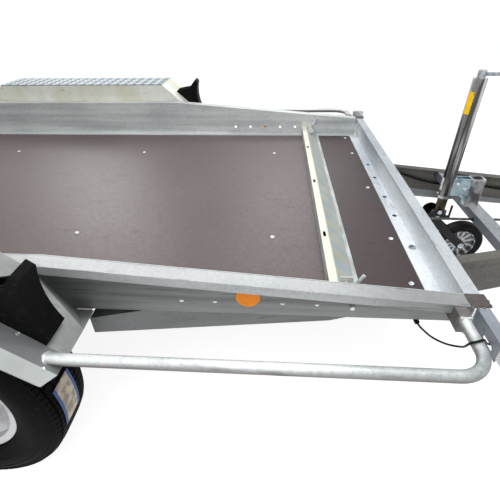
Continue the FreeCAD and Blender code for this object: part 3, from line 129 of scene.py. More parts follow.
# A plain pale floor and white surroundings, with one broad lamp overhead, a weaker one from
# the camera's side and two low ones behind the trailer that shine along the deck.
# The floor still takes the trailer's shadow.
FLOOR_HALF = 30.0
FLOOR_GLOW = 0.7
GLOW_LEVEL = 1.27
SKY_LIGHT = 0.4
WHITE = tint(255, 255, 255)
LAMP_AIM = (-500, 0, 0)
LAMPS = [{"place": (-500, -420, 2400), "size": 2.4, "power": 58.0},
         {"place": (-900, -2300, 1700), "size": 1.8, "power": 24.0},
         {"place": (-380, 2000, 1500), "size": 0.7, "power": 10.5},
         {"place": (-2300, 2000, 1500), "size": 0.9, "power": 18.0}]


def seen_share(tree):
    """1 for what the camera sees itself, in a mirror or through glass, and 0 for light."""
    path = tree.nodes.new("ShaderNodeLightPath")
    seen, mirrored, through = (Signal(tree, path.outputs[name]) for name in (
        "Is Camera Ray", "Is Glossy Ray", "Is Transmission Ray"))
    return seen.either(mirrored.either(through))


world = bpy.data.worlds.new("studio")
world.use_nodes = True
bpy.context.scene.world = world
sky = world.node_tree.nodes["Background"]
sky.inputs["Color"].default_value = WHITE
sky_level = SKY_LIGHT + (1 - SKY_LIGHT) * seen_share(world.node_tree)
world.node_tree.links.new(sky_level.socket, sky.inputs["Strength"])

bpy.ops.mesh.primitive_plane_add(size=FLOOR_HALF * 2, location=(0, 0, 0))
floor = bpy.context.object
floor.name = "floor"
floor_finish = bpy.data.materials.new("floor")
floor_finish.use_nodes = True
floor_tree = floor_finish.node_tree
floor_seen = seen_share(floor_tree)
chalk = floor_tree.nodes["Principled BSDF"]
chalk.inputs["Base Color"].default_value = WHITE
chalk.inputs["Roughness"].default_value = 1.0
glow = floor_seen.node("Emission", {}, {"Color": WHITE, "Strength": GLOW_LEVEL})
floor_mix = floor_seen.node("MixShader", {}, {0: floor_seen * FLOOR_GLOW,
                                              1: Signal(floor_tree, chalk.outputs[0]), 2: glow})
floor_tree.links.new(floor_mix.socket, floor_tree.nodes["Material Output"].inputs[0])
floor.data.materials.append(floor_finish)

for lamp in LAMPS:
    bpy.ops.object.light_add(type="AREA", location=at(*lamp["place"]))
    light = bpy.context.object
    light.data.shape = "SQUARE"
    light.data.size = lamp["size"]
    light.data.energy = lamp["power"]
    aim = at(*LAMP_AIM) - light.location
    light.rotation_euler = aim.to_track_quat("-Z", "Y").to_euler()


# The lamp's cable leaves a grommet under the right rail, sags beside it, climbs behind the
# guard tube's leg and goes through the slot in the lamp arm into the lamp's back. The main
# loom lies along the left drawbar arm, held by a clip at each end.
BED_HALF = 760.0
CABLE_R = 2.5
LOOM_R = 5.0
GLAND_WALL = 4.0
LAMP_CABLE = [(-91, 0, -8), (-91, 13, -8), (-82, 26, -12), (-65, 43, -20), (-46, 64, -16),
              (-39, 90, 4), (-36, 117, 31), (-45, 139, 56), (-46, 152, 84), (-35, 157, 95),
              (-20, 150, 94), (-6, 138, 74), (9, 124, 53), (27, 124, 48), (40, 134, 53),
              (42, 152, 54)]
LOOM = [(20, -100), (70, -92), (135, -90), (215, -100), (300, -122), (390, -132), (480, -120),
        (570, -114), (665, -122), (760, -116), (860, -122), (960, -116), (1060, -120),
        (1150, -112)]
BAR_SLOPE = 0.272
BAR_REF_X = 229.0
BAR_REF_Y = 417.0
BAR_T = 4.0
MOULD_GRAIN = 600.0
GRAIN_DEPTH = 0.00008


def new_finish(name):
    """Starts a material and gives it with its Object coordinates."""
    finish = bpy.data.materials.new(name)
    finish.use_nodes = True
    tree = finish.node_tree
    coordinates = tree.nodes.new("ShaderNodeTexCoord")
    return finish, Signal(tree, coordinates.outputs["Object"])


def dress(finish, sockets):
    """Gives the material's shader its plain values and its signals, by socket name."""
    shader = finish.node_tree.nodes["Principled BSDF"]
    for name, value in sockets.items():
        if isinstance(value, Signal):
            finish.node_tree.links.new(value.socket, shader.inputs[name])
        else:
            shader.inputs[name].default_value = value
    return finish


def cloud(point, scale, detail=3.0):
    """Soft noise from 0 to 1, about 1 / scale metres over."""
    return point.node("TexNoise", {}, {"Vector": point, "Scale": scale, "Detail": detail})


def ramp_up(value, low, high):
    """0 below low, 1 above high, and a smooth rise between."""
    return value.node("MapRange", {"interpolation_type": "SMOOTHSTEP"},
                      {"Value": value, "From Min": low, "From Max": high})


def mixed(share, first, second):
    """One colour at 0 and another at 1."""
    return share.node("Mix", {"data_type": "RGBA"}, {0: share, 6: first, 7: second}, output=2)


def stretched(point, x, y, z):
    """The same coordinates, longer or shorter along each axis."""
    return point.node("VectorMath", {"operation": "MULTIPLY"}, {0: point, 1: (x, y, z)})


def bump(height, distance, strength=1.0):
    """A normal from a height, with its depth in metres."""
    return height.node("Bump", {}, {"Height": height, "Distance": distance,
                                    "Strength": strength})


def moulded(name, light, dark, gloss, mirror=0.12):
    """Moulded plastic or rubber: a fine grain, dull patches and a little dust."""
    finish, place = new_finish(name)
    patch = cloud(place, 14.0, 4.0)
    dust = ramp_up(cloud(place, 90.0, 5.0), 0.55, 0.8)
    colour = mixed(dust * 0.12, mixed(patch, dark, light), tint(92, 90, 86))
    return dress(finish, {"Base Color": colour, "Roughness": gloss + 0.16 * patch + 0.1 * dust,
                          "Specular IOR Level": mirror,
                          "Normal": bump(cloud(place, MOULD_GRAIN, 2.0), GRAIN_DEPTH, 0.6)})


def curve_along(name, points, radius):
    """A smooth round curve with the points as its control points."""
    line = bpy.data.curves.new(name, "CURVE")
    line.dimensions = "3D"
    line.bevel_depth = radius * MM
    line.bevel_resolution = 4
    line.use_fill_caps = True
    spline = line.splines.new("NURBS")
    spline.points.add(len(points) - 1)
    for control, place in zip(spline.points, points):
        control.co = (*place, 1.0)
    spline.order_u = 3
    spline.use_endpoint_u = True
    piece = bpy.data.objects.new(name, line)
    bpy.context.collection.objects.link(piece)
    return piece


sheath = moulded("black_sheath", tint(26, 26, 27), tint(12, 12, 13), gloss=0.34)
lamp_route = [at(x, -BED_HALF - out, z) for x, out, z in LAMP_CABLE]
lamp_cord = curve_along("lamp_cord", lamp_route, CABLE_R)
lamp_cord.data.materials.append(sheath)
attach(lamp_cord, "chassis")
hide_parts("lamp_cable")

loom_inset = BAR_T + (LOOM_R + GLAND_WALL) * math.hypot(1, BAR_SLOPE)
loom_route = [at(x, BAR_REF_Y - BAR_SLOPE * (x - BAR_REF_X) - loom_inset, z) for x, z in LOOM]
loom_cord = curve_along("loom_cord", loom_route, LOOM_R)
loom_cord.data.materials.append(sheath)
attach(loom_cord, "chassis")
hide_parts("loom_cable")


# The frame is folded and rolled steel, hot-dip galvanised after welding. Fine zinc crystals
# show all over it, with cloudy greys, pale runs and a few grey scuffs down the sheet.
CRYSTALS = 150.0
WEB_FROM_Y = BED_HALF + 2
WEB_TO_Y = BED_HALF + 4
FLANGE_SHADE_X = (-350, -60)
FLANGE_FROM_Z = 88
LAMP_ARM_FROM_Y = 812
BLOCK_FROM_X = -70
BLOCK_TO_Y = 842
UNDERSIDE_TO_Z = (73, 90)
ARM_REAR_TO_X = -150
LOWER_FLANGE_Z = -176
STRUT_TOP_Z = -60.5


def within(value, low, high):
    """1 between two numbers and 0 outside."""
    return (value > low) * (value < high)


def galvanised(name, light, dark, run, shine=0.35, dull=None, shade_and_stain=None):
    """Hot-dip zinc in two greys, its stains drawn out by run; dull gives the share of a second pair
    of greys: painted shade on most parts, paler patches on the drawbar arms' painted shade, and a
    weld stain on the guard tubes' blocks.
    """
    finish, place = new_finish(name)
    wander = place.node("TexNoise", {}, {"Vector": place, "Scale": 70.0, "Detail": 2.0}, output=1)
    waver = place.node("VectorMath", {"operation": "MULTIPLY_ADD"},
                       {0: wander, 1: (0.01, 0.01, 0.01), 2: place})
    crystal = place.node("TexVoronoi", {}, {"Vector": waver, "Scale": CRYSTALS}, output=1)
    crystal = crystal.node("RGBToBW", {}, {0: crystal})
    stain = cloud(stretched(place, *run), 9.0, 6.0)
    patch = cloud(place, 2.6, 4.0)
    speck = ramp_up(cloud(place, 240.0, 2.0), 0.62, 0.74)
    scuff = ramp_up(cloud(stretched(place, *run), 38.0, 6.0), 0.6, 0.76)
    tone = ramp_up(0.55 * stain + 0.35 * patch + 0.1 * crystal, 0.32, 0.66)
    colour = mixed(scuff * 0.35, mixed(tone, dark, light), tint(96, 96, 96))
    colour = mixed(speck * 0.22, colour, tint(232, 236, 236))
    if dull is not None:
        # The second pair of greys is painted shade on most parts.
        shade_and_stain_light, shade_and_stain_dark = shade_and_stain
        smear = ramp_up(0.6 * scuff + stain, 0.38, 0.72)
        colour = mixed(dull(place), colour, mixed(smear, shade_and_stain_light, shade_and_stain_dark))
    relief = 0.35 * crystal + 0.65 * stain
    return dress(finish, {"Base Color": colour, "Metallic": shine,
                          "Roughness": 0.36 + 0.18 * stain + 0.08 * crystal,
                          "Normal": bump(relief, 0.0005, 0.3)})


def paint(finish, *names):
    """Gives CAD nodes a finish."""
    for name in names:
        for slot in nodes[name].material_slots:
            slot.material = finish


def axes(place):
    """The coordinates apart: forward, across and up, in the frame's metres."""
    split = place.node("SeparateXYZ", {}, {0: place})
    return [Signal(split.tree, output) for output in split.socket.node.outputs]


def shaded_outer_web(place):
    """Painted shade on the right rail's outer face, and some on its flange, more towards the front.
    """
    forward, across = axes(place)[:2]
    web = within(across, -WEB_TO_Y * MM, -WEB_FROM_Y * MM)
    front = ramp_up(forward, *(at(x, 0, 0).x for x in FLANGE_SHADE_X))
    return web * 0.85 + (across < -WEB_TO_Y * MM) * (0.3 + 0.35 * front)


def header_shade(place):
    """Painted shade: the header's top flange and its two lamp arms, darker than its strip."""
    across, level = axes(place)[1:]
    arm = across.maths("ABSOLUTE", across) > LAMP_ARM_FROM_Y * MM
    flange = level > at(0, 0, FLANGE_FROM_Z).z
    return (flange * 0.4).either(arm * 0.85)


def block_shade(place):
    """The guard tubes' blocks, rough and brownish from welding, and painted shade on the tubes'
    undersides.
    """
    forward, across, level = axes(place)
    inboard = across.maths("ABSOLUTE", across) < BLOCK_TO_Y * MM
    block = (forward > at(BLOCK_FROM_X, 0, 0).x) * inboard
    under = 1 - ramp_up(level, *(at(0, 0, z).z for z in UNDERSIDE_TO_Z))
    return (block * 0.9).either(under * 0.9)


def arm_shade(place):
    """The drawbar arms' rear ends under the deck and the left one's lower flange, paler, with less
    of the painted shade.
    """
    forward, across, level = axes(place)
    rear = forward < at(ARM_REAR_TO_X, 0, 0).x
    flange = (level < at(0, 0, LOWER_FLANGE_Z).z) * (across > 0.0)
    return (rear * 0.4).either(flange * 0.9)


def strut_shade(place):
    """Painted shade: the strut's sides, darker than its top."""
    return (axes(place)[2] < at(0, 0, STRUT_TOP_Z).z) * 0.8


zinc_frame = galvanised("frame_zinc", tint(186, 184, 180), tint(134, 132, 128), run=(0.4, 0.4, 1))
# Painted shade: the right rail's outer web and flange get dark greys.
zinc_rail = galvanised("rail_zinc", tint(206, 209, 209), tint(160, 164, 166), run=(0.14, 1, 3),
                       dull=shaded_outer_web, shade_and_stain=(tint(118, 121, 120), tint(46, 47, 47)))
# Painted shade: the header's flange and lamp arms get darker bluish greys.
zinc_header = galvanised("header_zinc", tint(222, 227, 230), tint(158, 166, 174),
                         run=(1, 0.3, 1), dull=header_shade,
                         shade_and_stain=(tint(126, 134, 144), tint(70, 76, 86)))
zinc_ramp = galvanised("ramp_zinc", tint(184, 187, 188), tint(122, 126, 128), run=(1, 1, 0.5))
# Painted shade on the guard tubes' undersides; their blocks keep a brownish weld stain.
zinc_tube = galvanised("tube_zinc", tint(206, 209, 210), tint(140, 145, 147), run=(0.2, 1, 1),
                       shine=0.65, dull=block_shade,
                       shade_and_stain=(tint(124, 118, 114), tint(66, 60, 57)))
# Painted shade: the drawbar arms' zinc is given dark greys throughout; arm_shade paints a few parts
# paler.
zinc_dark = galvanised("drawbar_zinc", tint(104, 102, 97), tint(54, 53, 50),
                       run=(0.25, 0.25, 1.6), dull=arm_shade,
                       shade_and_stain=(tint(168, 174, 176), tint(130, 134, 136)))
# Painted shade: the strut's sides get darker bluish greys than its top.
zinc_strut = galvanised("strut_zinc", tint(168, 172, 176), tint(112, 118, 124),
                        run=(0.4, 0.4, 1), dull=strut_shade,
                        shade_and_stain=(tint(92, 98, 108), tint(48, 52, 60)))
paint(zinc_rail, "side_rails")
paint(zinc_header, "front_header")
paint(zinc_frame, "floor_bearers", "chassis_beams", "axles", "rear_beam")
paint(zinc_dark, "drawbar_arms")
paint(zinc_strut, "drawbar_strut")
paint(zinc_ramp, "ramp_left", "ramp_right", "prop_stand_left", "prop_stand_right")
paint(zinc_tube, "guard_tubes")
paint(sheath, "cable_fittings")


# The deck is one board of ply with a dark brown resin film, pressed with a fine wire mesh
# against slipping. Ahead of the wheel stop it is much darker and redder; behind the stop a few
# pale scuffs show.
MESH_PITCH = 5.0
FRONT_FROM_X = -250
WAVE_UNIT = 20.0


def waves(pitch):
    """The scale that sets a wave texture's bands this many millimetres apart."""
    return 2 * math.pi / (pitch * MM) / WAVE_UNIT


film, point = new_finish("deck_film")
threads = waves(MESH_PITCH)
along = point.node("TexWave", {"bands_direction": "X"}, {"Vector": point, "Scale": threads})
across = point.node("TexWave", {"bands_direction": "Y"}, {"Vector": point, "Scale": threads})
mesh = along * across
weft = ramp_up(cloud(stretched(point, 1, 9, 1), 34.0, 3.0), 0.38, 0.62)
warp = ramp_up(cloud(stretched(point, 9, 1, 1), 34.0, 3.0), 0.38, 0.62)
weave = 0.5 * weft + 0.5 * warp
dull = cloud(point, 2.2, 5.0)
scuff = ramp_up(cloud(stretched(point, 0.3, 1, 1), 26.0, 6.0), 0.56, 0.74)
grain = cloud(stretched(point, 0.5, 3, 1), 60.0, 4.0)
spot = ramp_up(cloud(point, 380.0, 2.0), 0.4, 0.7)
ahead_of_stop = axes(point)[0] > at(FRONT_FROM_X, 0, 0).x
film_colour = mixed(0.7 * dull + 0.3 * grain, tint(70, 57, 59), tint(106, 94, 93))
film_colour = mixed(scuff * 0.1 * (1 - ahead_of_stop), film_colour, tint(142, 130, 124))
# Ahead of the wheel stop the film is much darker and redder.
film_colour = mixed(ahead_of_stop * 0.9, film_colour, tint(44, 28, 28))
film_colour = mixed(spot * 0.22, film_colour, tint(40, 28, 30))
film_colour = mixed(mesh * 0.25, film_colour, tint(52, 40, 43))
film_colour = mixed(weave * 0.3, film_colour, tint(44, 33, 37))
dress(film, {"Base Color": film_colour, "Specular IOR Level": 0.5,
             "Roughness": 0.31 + 0.14 * dull + 0.1 * scuff + 0.08 * weave,
             "Normal": bump(mesh + 0.8 * weave, 0.0004, 0.5)})
paint(film, "deck_board")


# Plated pan-head screws hold the board on the bearers, two rows lengthwise, and five more
# hold its front edge. Each head is domed, with a recess for the driver. Two rivets on each
# mudguard's flap and a stud in the header's strip have the same heads.
SCREW_R = 8.0
SCREW_H = 2.6
SCREW_RING = 3.2
SCREW_SINK = 1.4
SCREW_ROWS = (428, -386)
SCREW_BEARERS = (-470, -1170, -1870, -2570)
SCREW_FRONT = [(-65, y) for y in (683, 438, 23, -381, -619)]
SCREW_SIDES = 20
FLAP_LEAN = math.radians(41)
RIVETS = [(-927, 1020, 80.5), (-986, 977, 132.5)]
RIVET_SCALE = 0.5
STUD = (-10, -435, 3)
STUD_SCALE = 1.5


def mode(name):
    """Goes to edit or object mode."""
    bpy.ops.object.mode_set(mode=name)


def begin(adder, **sizes):
    """Adds one primitive with nothing else selected."""
    bpy.ops.object.select_all(action="DESELECT")
    adder(**sizes)
    return bpy.context.object


def pick(piece, test):
    """Selects the faces whose centre and normal pass the test, and stays in edit mode."""
    mode("EDIT")
    bpy.ops.mesh.select_mode(type="FACE")
    bpy.ops.mesh.select_all(action="DESELECT")
    mode("OBJECT")
    turn = piece.matrix_world.to_3x3()
    for face in piece.data.polygons:
        face.select = test(piece.matrix_world @ face.center, turn @ face.normal)
    mode("EDIT")


def settle(piece, name, body, finish, smooth=30):
    """Ends a piece: place into its mesh, smooth faces, finish and body."""
    if piece.mode == "EDIT":
        mode("OBJECT")
    bpy.ops.object.select_all(action="DESELECT")
    piece.select_set(True)
    bpy.context.view_layer.objects.active = piece
    bpy.ops.object.transform_apply(location=True, rotation=True, scale=True)
    bpy.ops.object.shade_smooth_by_angle(angle=math.radians(smooth))
    piece.name = name
    piece.data.name = name
    piece.data.materials.clear()
    piece.data.materials.append(finish)
    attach(piece, body)
    return piece


def again(piece, name, move, body):
    """A copy with its own mesh, moved in its mesh."""
    copy = piece.copy()
    copy.data = piece.data.copy()
    copy.data.transform(move)
    copy.name = name
    copy.data.name = name
    bpy.context.collection.objects.link(copy)
    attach(copy, body)
    return copy


def join(pieces):
    """Makes one object of like pieces."""
    bpy.ops.object.select_all(action="DESELECT")
    for piece in pieces:
        piece.select_set(True)
    bpy.context.view_layer.objects.active = pieces[0]
    bpy.ops.object.join()
    return pieces[0]


def plated(name, light, dark):
    """Zinc plate on small steel parts: bright, bluish, with faint patches."""
    finish, place = new_finish(name)
    patch = cloud(place, 45.0, 4.0)
    tone = ramp_up(patch, 0.35, 0.65)
    return dress(finish, {"Base Color": mixed(tone, dark, light), "Metallic": 0.75,
                          "Roughness": 0.26 + 0.2 * patch,
                          "Normal": bump(cloud(place, 420.0), 0.0001, 0.4)})


bright_plate = plated("bright_plate", tint(222, 226, 230), tint(170, 180, 188))
screw_places = [(x, y) for x in SCREW_BEARERS for y in SCREW_ROWS] + SCREW_FRONT
first_x, first_y = screw_places[0]
screw = begin(bpy.ops.mesh.primitive_cylinder_add, vertices=SCREW_SIDES, radius=SCREW_R * MM,
              depth=SCREW_H * MM, location=at(first_x, first_y, SCREW_H / 2))
pick(screw, lambda centre, normal: normal.z > 0.9)
bpy.ops.mesh.bevel(offset=SCREW_H / 2 * MM, segments=3)
pick(screw, lambda centre, normal: normal.z > 0.99)
bpy.ops.mesh.inset(thickness=SCREW_RING * MM)
bpy.ops.transform.translate(value=(0, 0, -SCREW_SINK * MM))
settle(screw, "deck_screws", "chassis", bright_plate)
head_foot = at(first_x, first_y, 0)
join([again(screw, "mudguard_rivets", Matrix.Translation(at(x, side * y, z))
            @ Matrix.Rotation(FLAP_LEAN, 4, "Y") @ Matrix.Scale(RIVET_SCALE, 4)
            @ Matrix.Translation(-head_foot), "chassis")
      for x, y, z in RIVETS for side in (-1, 1)])
stud = again(screw, "header_stud", Matrix.Translation(at(*STUD)) @ Matrix.Scale(STUD_SCALE, 4)
             @ Matrix.Translation(-head_foot), "chassis")
stud_plate = plated("stud_plate", tint(176, 182, 186), tint(104, 112, 118))
stud.data.materials[0] = stud_plate
join([screw] + [again(screw, "deck_screw",
                      Matrix.Translation(Vector((x - first_x, y - first_y, 0)) * MM),
                      "chassis") for x, y in screw_places[1:]])


# The mudguards are folded from galvanised sheet and fixed outside the rails. Their flat tops
# carry a rolled pattern of small raised lozenges, because people step on them. Light and
# shade are painted on their sides: the right one is painted darker, with a lighter bevelled
# edge and a painted shadow on its folded flap, and the left one is painted paler, as lit,
# with a yellowish tinge.
TREAD_PITCH = 36.0
TREAD_FROM_Z = 262.0
BEVEL_FROM_Y = 1019.0
FLAP_FROM_Y = 972.0
fender_finish, point = new_finish("mudguard_zinc")
across, level = axes(point)[1:]
on_top = level > at(0, 0, TREAD_FROM_Z).z
on_left = across > 0.0
lit_bevel = across < -BEVEL_FROM_Y * MM
flap_shadow = within(across, -BEVEL_FROM_Y * MM, -FLAP_FROM_Y * MM)
turned_point = point.node("Mapping", {}, {"Vector": point, "Rotation": (0, 0, math.radians(45))})
lozenge = turned_point.node("TexChecker", {}, {"Vector": turned_point,
                                               "Scale": 1 / (TREAD_PITCH * MM)}, output=1)
stain = cloud(stretched(point, 1, 1, 0.5), 8.0, 6.0)
patch = cloud(point, 3.0, 4.0)
scuff = ramp_up(cloud(stretched(point, 0.6, 1, 1), 40.0, 6.0), 0.58, 0.74)
tone = ramp_up(0.6 * stain + 0.4 * patch, 0.34, 0.66)
# Painted light: the left mudguard's paler greys, with a yellowish tinge.
lit_left_sheet = mixed(tone, tint(206, 205, 186), tint(226, 230, 228))
tread = mixed(lozenge, tint(184, 190, 190), tint(112, 124, 136))
# Painted shade: the right mudguard's darker greys.
sheet_colour = mixed(tone, tint(108, 111, 111), tint(166, 170, 169))
# Painted light on the right mudguard's bevelled edge.
sheet_colour = mixed(lit_bevel * 0.35, sheet_colour, tint(206, 211, 210))
# Painted shadow on the right mudguard's folded flap.
sheet_colour = mixed(flap_shadow * 0.55, sheet_colour, tint(78, 81, 82))
sheet_colour = mixed(on_left, sheet_colour, lit_left_sheet)
sheet_colour = mixed(scuff * 0.3, sheet_colour, tint(96, 96, 96))
sheet_colour = mixed(on_top, sheet_colour, tread)
dress(fender_finish, {"Base Color": sheet_colour, "Metallic": 0.35,
                      "Roughness": 0.4 + 0.18 * stain + 0.3 * on_top,
                      "Normal": bump(0.3 * stain + on_top * lozenge, 0.0015, 0.5)})
paint(fender_finish, "fenders")


# The wheel stop is a pressed and galvanised channel across the bed, held by a spring bolt
# in each rail. Its sloping front is rolled in a diagonal pattern, and its top strip is paler
# and creamier.
STOP_TOP_Z = 38.5
STOP_SLOPE_X = (-286, -230)
PATTERN_PITCH = 9.0
PATTERN_LEAN = math.radians(28)
BAND_PITCH = 85.0
stop_finish, point = new_finish("stop_zinc")
forward, level = axes(point)[::2]
on_strip = level > at(0, 0, STOP_TOP_Z).z
low_x, high_x = (at(x, 0, 0).x for x in STOP_SLOPE_X)
on_slope = within(forward, low_x, high_x) * (1 - on_strip)
leaning = point.node("Mapping", {}, {"Vector": point, "Rotation": (0, 0, PATTERN_LEAN)})
bands = leaning.node("TexWave", {"bands_direction": "Y"},
                     {"Vector": leaning, "Scale": waves(BAND_PITCH),
                      "Distortion": 2.5, "Detail Scale": 8.0}, output=1)
ribs = leaning.node("TexWave", {"bands_direction": "Y"},
                    {"Vector": leaning, "Scale": waves(PATTERN_PITCH)}, output=1)
stain = cloud(stretched(point, 1, 0.4, 1), 22.0, 6.0)
tone = ramp_up(stain, 0.35, 0.68)
stop_colour = mixed(tone, tint(140, 145, 144), tint(184, 190, 188))
rolled = mixed(ramp_up(bands, 0.3, 0.7), tint(142, 158, 164), tint(162, 162, 146))
rolled = mixed(ribs * 0.3, rolled, tint(200, 204, 200))
stop_colour = mixed(on_slope * 0.8, stop_colour, rolled)
stop_colour = mixed(on_strip * 0.8, stop_colour, tint(212, 212, 198))
dress(stop_finish, {"Base Color": stop_colour, "Metallic": 0.25, "Roughness": 0.42 + 0.2 * stain,
                    "Normal": bump(0.4 * stain + on_slope * ribs, 0.0008, 0.5)})
paint(stop_finish, "stop_bar")


# Latch pins, coupling, crank and overrun housing are turned, pressed or cast steel with a
# zinc plating, brighter and bluer than the galvanised frame. The brake rod's is much darker.
cast_zinc = plated("cast_zinc", tint(184, 190, 196), tint(128, 136, 144))
dark_plate = plated("dark_plate", tint(96, 98, 100), tint(50, 52, 54))
paint(bright_plate, "latch_pins")
paint(cast_zinc, "overrun_housing", "coupling_head", "jockey_crank")
paint(dark_plate, "brake_linkage")


# The jockey wheel's clamp is two blue-passivated cheeks round the tube and a galvanised
# square post behind them, rougher and greyer.
POST_FROM_X = 337
clamp_finish, point = new_finish("clamp_zinc")
on_post = axes(point)[0] > at(POST_FROM_X, 0, 0).x
gleam = ramp_up(cloud(point, 34.0, 3.0), 0.35, 0.65)
rough = cloud(point, 24.0, 6.0)
cheek = mixed(gleam, tint(104, 134, 146), tint(186, 208, 216))
post = mixed(ramp_up(rough, 0.35, 0.65), tint(96, 96, 100), tint(186, 188, 190))
dress(clamp_finish, {"Base Color": mixed(on_post, cheek, post), "Metallic": 0.55,
                     "Roughness": 0.28 + 0.3 * rough, "Normal": bump(rough, 0.0006, 0.4)})
paint(clamp_finish, "jockey_clamp")


# The jockey wheel's tube is drawn and plated steel with long dark reflections, its fork is
# painted black, and the wheel is a grey disc with bright ribs round a bright hub and a solid
# rubber tyre.
JOCKEY_HUB = (376, 0, -250)
JOCKEY_SPOKES = 12
HUB_EDGE_R = (24, 34)
chrome, point = new_finish("drawn_tube")
streak = cloud(stretched(point, 1, 1, 0.04), 60.0, 4.0)
haze = cloud(stretched(point, 1, 1, 0.3), 9.0, 4.0)
# Painted reflections: the tube's long dark and bright streaks.
tube_colour = mixed(ramp_up(streak, 0.4, 0.6), tint(72, 70, 66), tint(214, 216, 216))
dress(chrome, {"Base Color": mixed(haze * 0.4, tube_colour, tint(104, 102, 98)),
               "Metallic": 0.9, "Roughness": 0.16 + 0.18 * haze,
               "Normal": bump(streak, 0.0002, 0.25)})
bronze, point = new_finish("inner_tube_steel")
streak = cloud(stretched(point, 1, 1, 0.05), 80.0, 4.0)
dress(bronze, {"Base Color": mixed(streak, tint(44, 40, 32), tint(98, 90, 74)),
               "Metallic": 0.85, "Roughness": 0.24 + 0.2 * streak})
fork_paint, point = new_finish("fork_paint")
wear = ramp_up(cloud(point, 120.0, 5.0), 0.62, 0.75)
dress(fork_paint, {"Base Color": mixed(wear * 0.4, tint(6, 6, 7), tint(92, 90, 88)),
                   "Roughness": 0.3 + 0.3 * wear, "Specular IOR Level": 0.3,
                   "Normal": bump(cloud(point, 300.0), 0.0001)})
disc_grey, point = new_finish("jockey_disc")
from_hub = point.node("VectorMath", {"operation": "SUBTRACT"}, {0: point, 1: at(*JOCKEY_HUB)})
facing = point.node("Mapping", {}, {"Vector": from_hub, "Rotation": (math.radians(-90), 0, 0)})
share_round = facing.node("TexGradient", {"gradient_type": "RADIAL"}, {"Vector": facing}, output=1)
spoke = ramp_up(share_round.maths("PINGPONG", share_round * JOCKEY_SPOKES, 0.5), 0.26, 0.4)
from_axle = from_hub.node("VectorMath", {"operation": "LENGTH"}, {0: from_hub}, output=1)
spoke = spoke.either(1 - ramp_up(from_axle, *(radius * MM for radius in HUB_EDGE_R)))
haze = cloud(point, 40.0, 4.0)
bright = mixed(haze, tint(170, 174, 178), tint(230, 234, 238))
dress(disc_grey, {"Base Color": mixed(spoke, tint(102, 103, 106), bright),
                  "Metallic": 0.5, "Roughness": 0.26 + 0.2 * haze,
                  "Normal": bump(spoke, 0.002, 0.5)})
solid_rubber = moulded("solid_rubber", tint(24, 24, 24), tint(12, 12, 12), gloss=0.42)
paint(chrome, "jockey_outer_tube")
paint(bronze, "jockey_inner_tube")
paint(fork_paint, "jockey_fork")
paint(disc_grey, "jockey_rim")
paint(solid_rubber, "jockey_tyre")


# Chocks, their holders and the coupling's grip are black moulded plastic; the bellows is
# softer black rubber.
black_plastic = moulded("black_plastic", tint(14, 14, 15), tint(4, 4, 5), gloss=0.5, mirror=0.09)
bellows_rubber = moulded("bellows_rubber", tint(34, 33, 32), tint(16, 16, 16), gloss=0.62)
paint(black_plastic, "wheel_chocks", "chock_holders", "coupling_handle")
paint(bellows_rubber, "drawbar_bellows")


# Lamp and reflector lenses are moulded in clear coloured plastic, with a fine pattern of
# prisms inside, and screwed or glued to the steel.
PRISM_PITCH = 4.0


def lens(name, light, dark):
    """Coloured lens: a grid of small prisms under a smooth glossy face."""
    finish, place = new_finish(name)
    prism = place.node("TexChecker", {}, {"Vector": place, "Scale": 1 / (PRISM_PITCH * MM)},
                       output=1)
    haze = cloud(place, 30.0, 3.0)
    return dress(finish, {"Base Color": mixed(0.6 * prism + 0.4 * haze, dark, light),
                          "Roughness": 0.2 + 0.1 * haze, "Coat Weight": 0.15,
                          "Specular IOR Level": 0.2,
                          "Normal": bump(prism, 0.0003, 0.3)})


paint(lens("amber_lens", tint(242, 146, 0), tint(216, 112, 0)), "side_reflectors")
paint(lens("white_lens", tint(232, 234, 236), tint(196, 200, 204)), "front_lamps")
paint(lens("red_lens", tint(196, 22, 20), tint(132, 8, 8)), "rear_lamps")


# The rims are pressed and welded steel, sprayed silver and lacquered, each held by five
# wheel bolts. A little grime dulls the silver.
silver, point = new_finish("rim_silver")
flake = point.node("TexVoronoi", {}, {"Vector": point, "Scale": 900.0}, output=1)
flake = flake.node("RGBToBW", {}, {0: flake})
grime = ramp_up(cloud(point, 30.0, 5.0), 0.55, 0.8)
rim_colour = mixed(flake, tint(174, 175, 178), tint(206, 207, 210))
dress(silver, {"Base Color": mixed(grime * 0.3, rim_colour, tint(150, 148, 146)),
               "Metallic": 0.35, "Roughness": 0.28 + 0.2 * grime, "Coat Weight": 0.3})
for end in ("front", "rear"):
    for side in ("left", "right"):
        paint(silver, "rim_%s_%s" % (end, side))


# Road tyres for 13-inch rims: black rubber, moulded with ribs of tread blocks, square
# shoulders and thin rings round the walls. They stand in for the plain rubber rings.
WHEEL_X = (-1225, -2025)
WHEEL_Y = 969
WHEEL_Z = -61
TYRE_SEGMENTS = 96
TREAD_FLOOR_R = 284.5
TREAD_MIDDLE = 11.0
TREAD_DEPTH = 4.5
TREAD_GROOVE = 1.5
BLOCKS_FROM_R = 272
TYRE_SECTION = [(284.3, 33), (281.5, 56), (273.5, 68), (266, 72.5), (264.5, 71.3), (252, 76.6),
                (246, 78), (244.5, 77), (236, 79.3), (226, 80), (216, 79.2), (214.5, 77.8),
                (204, 76), (194, 71.5), (183, 65.7), (183, 57), (167, 57)]


def stretch_ring(centre, across, along):
    """Scales what is selected about a wheel's centre, across and along its axle."""
    bpy.ops.transform.resize(value=(across, along, across), center_override=centre)


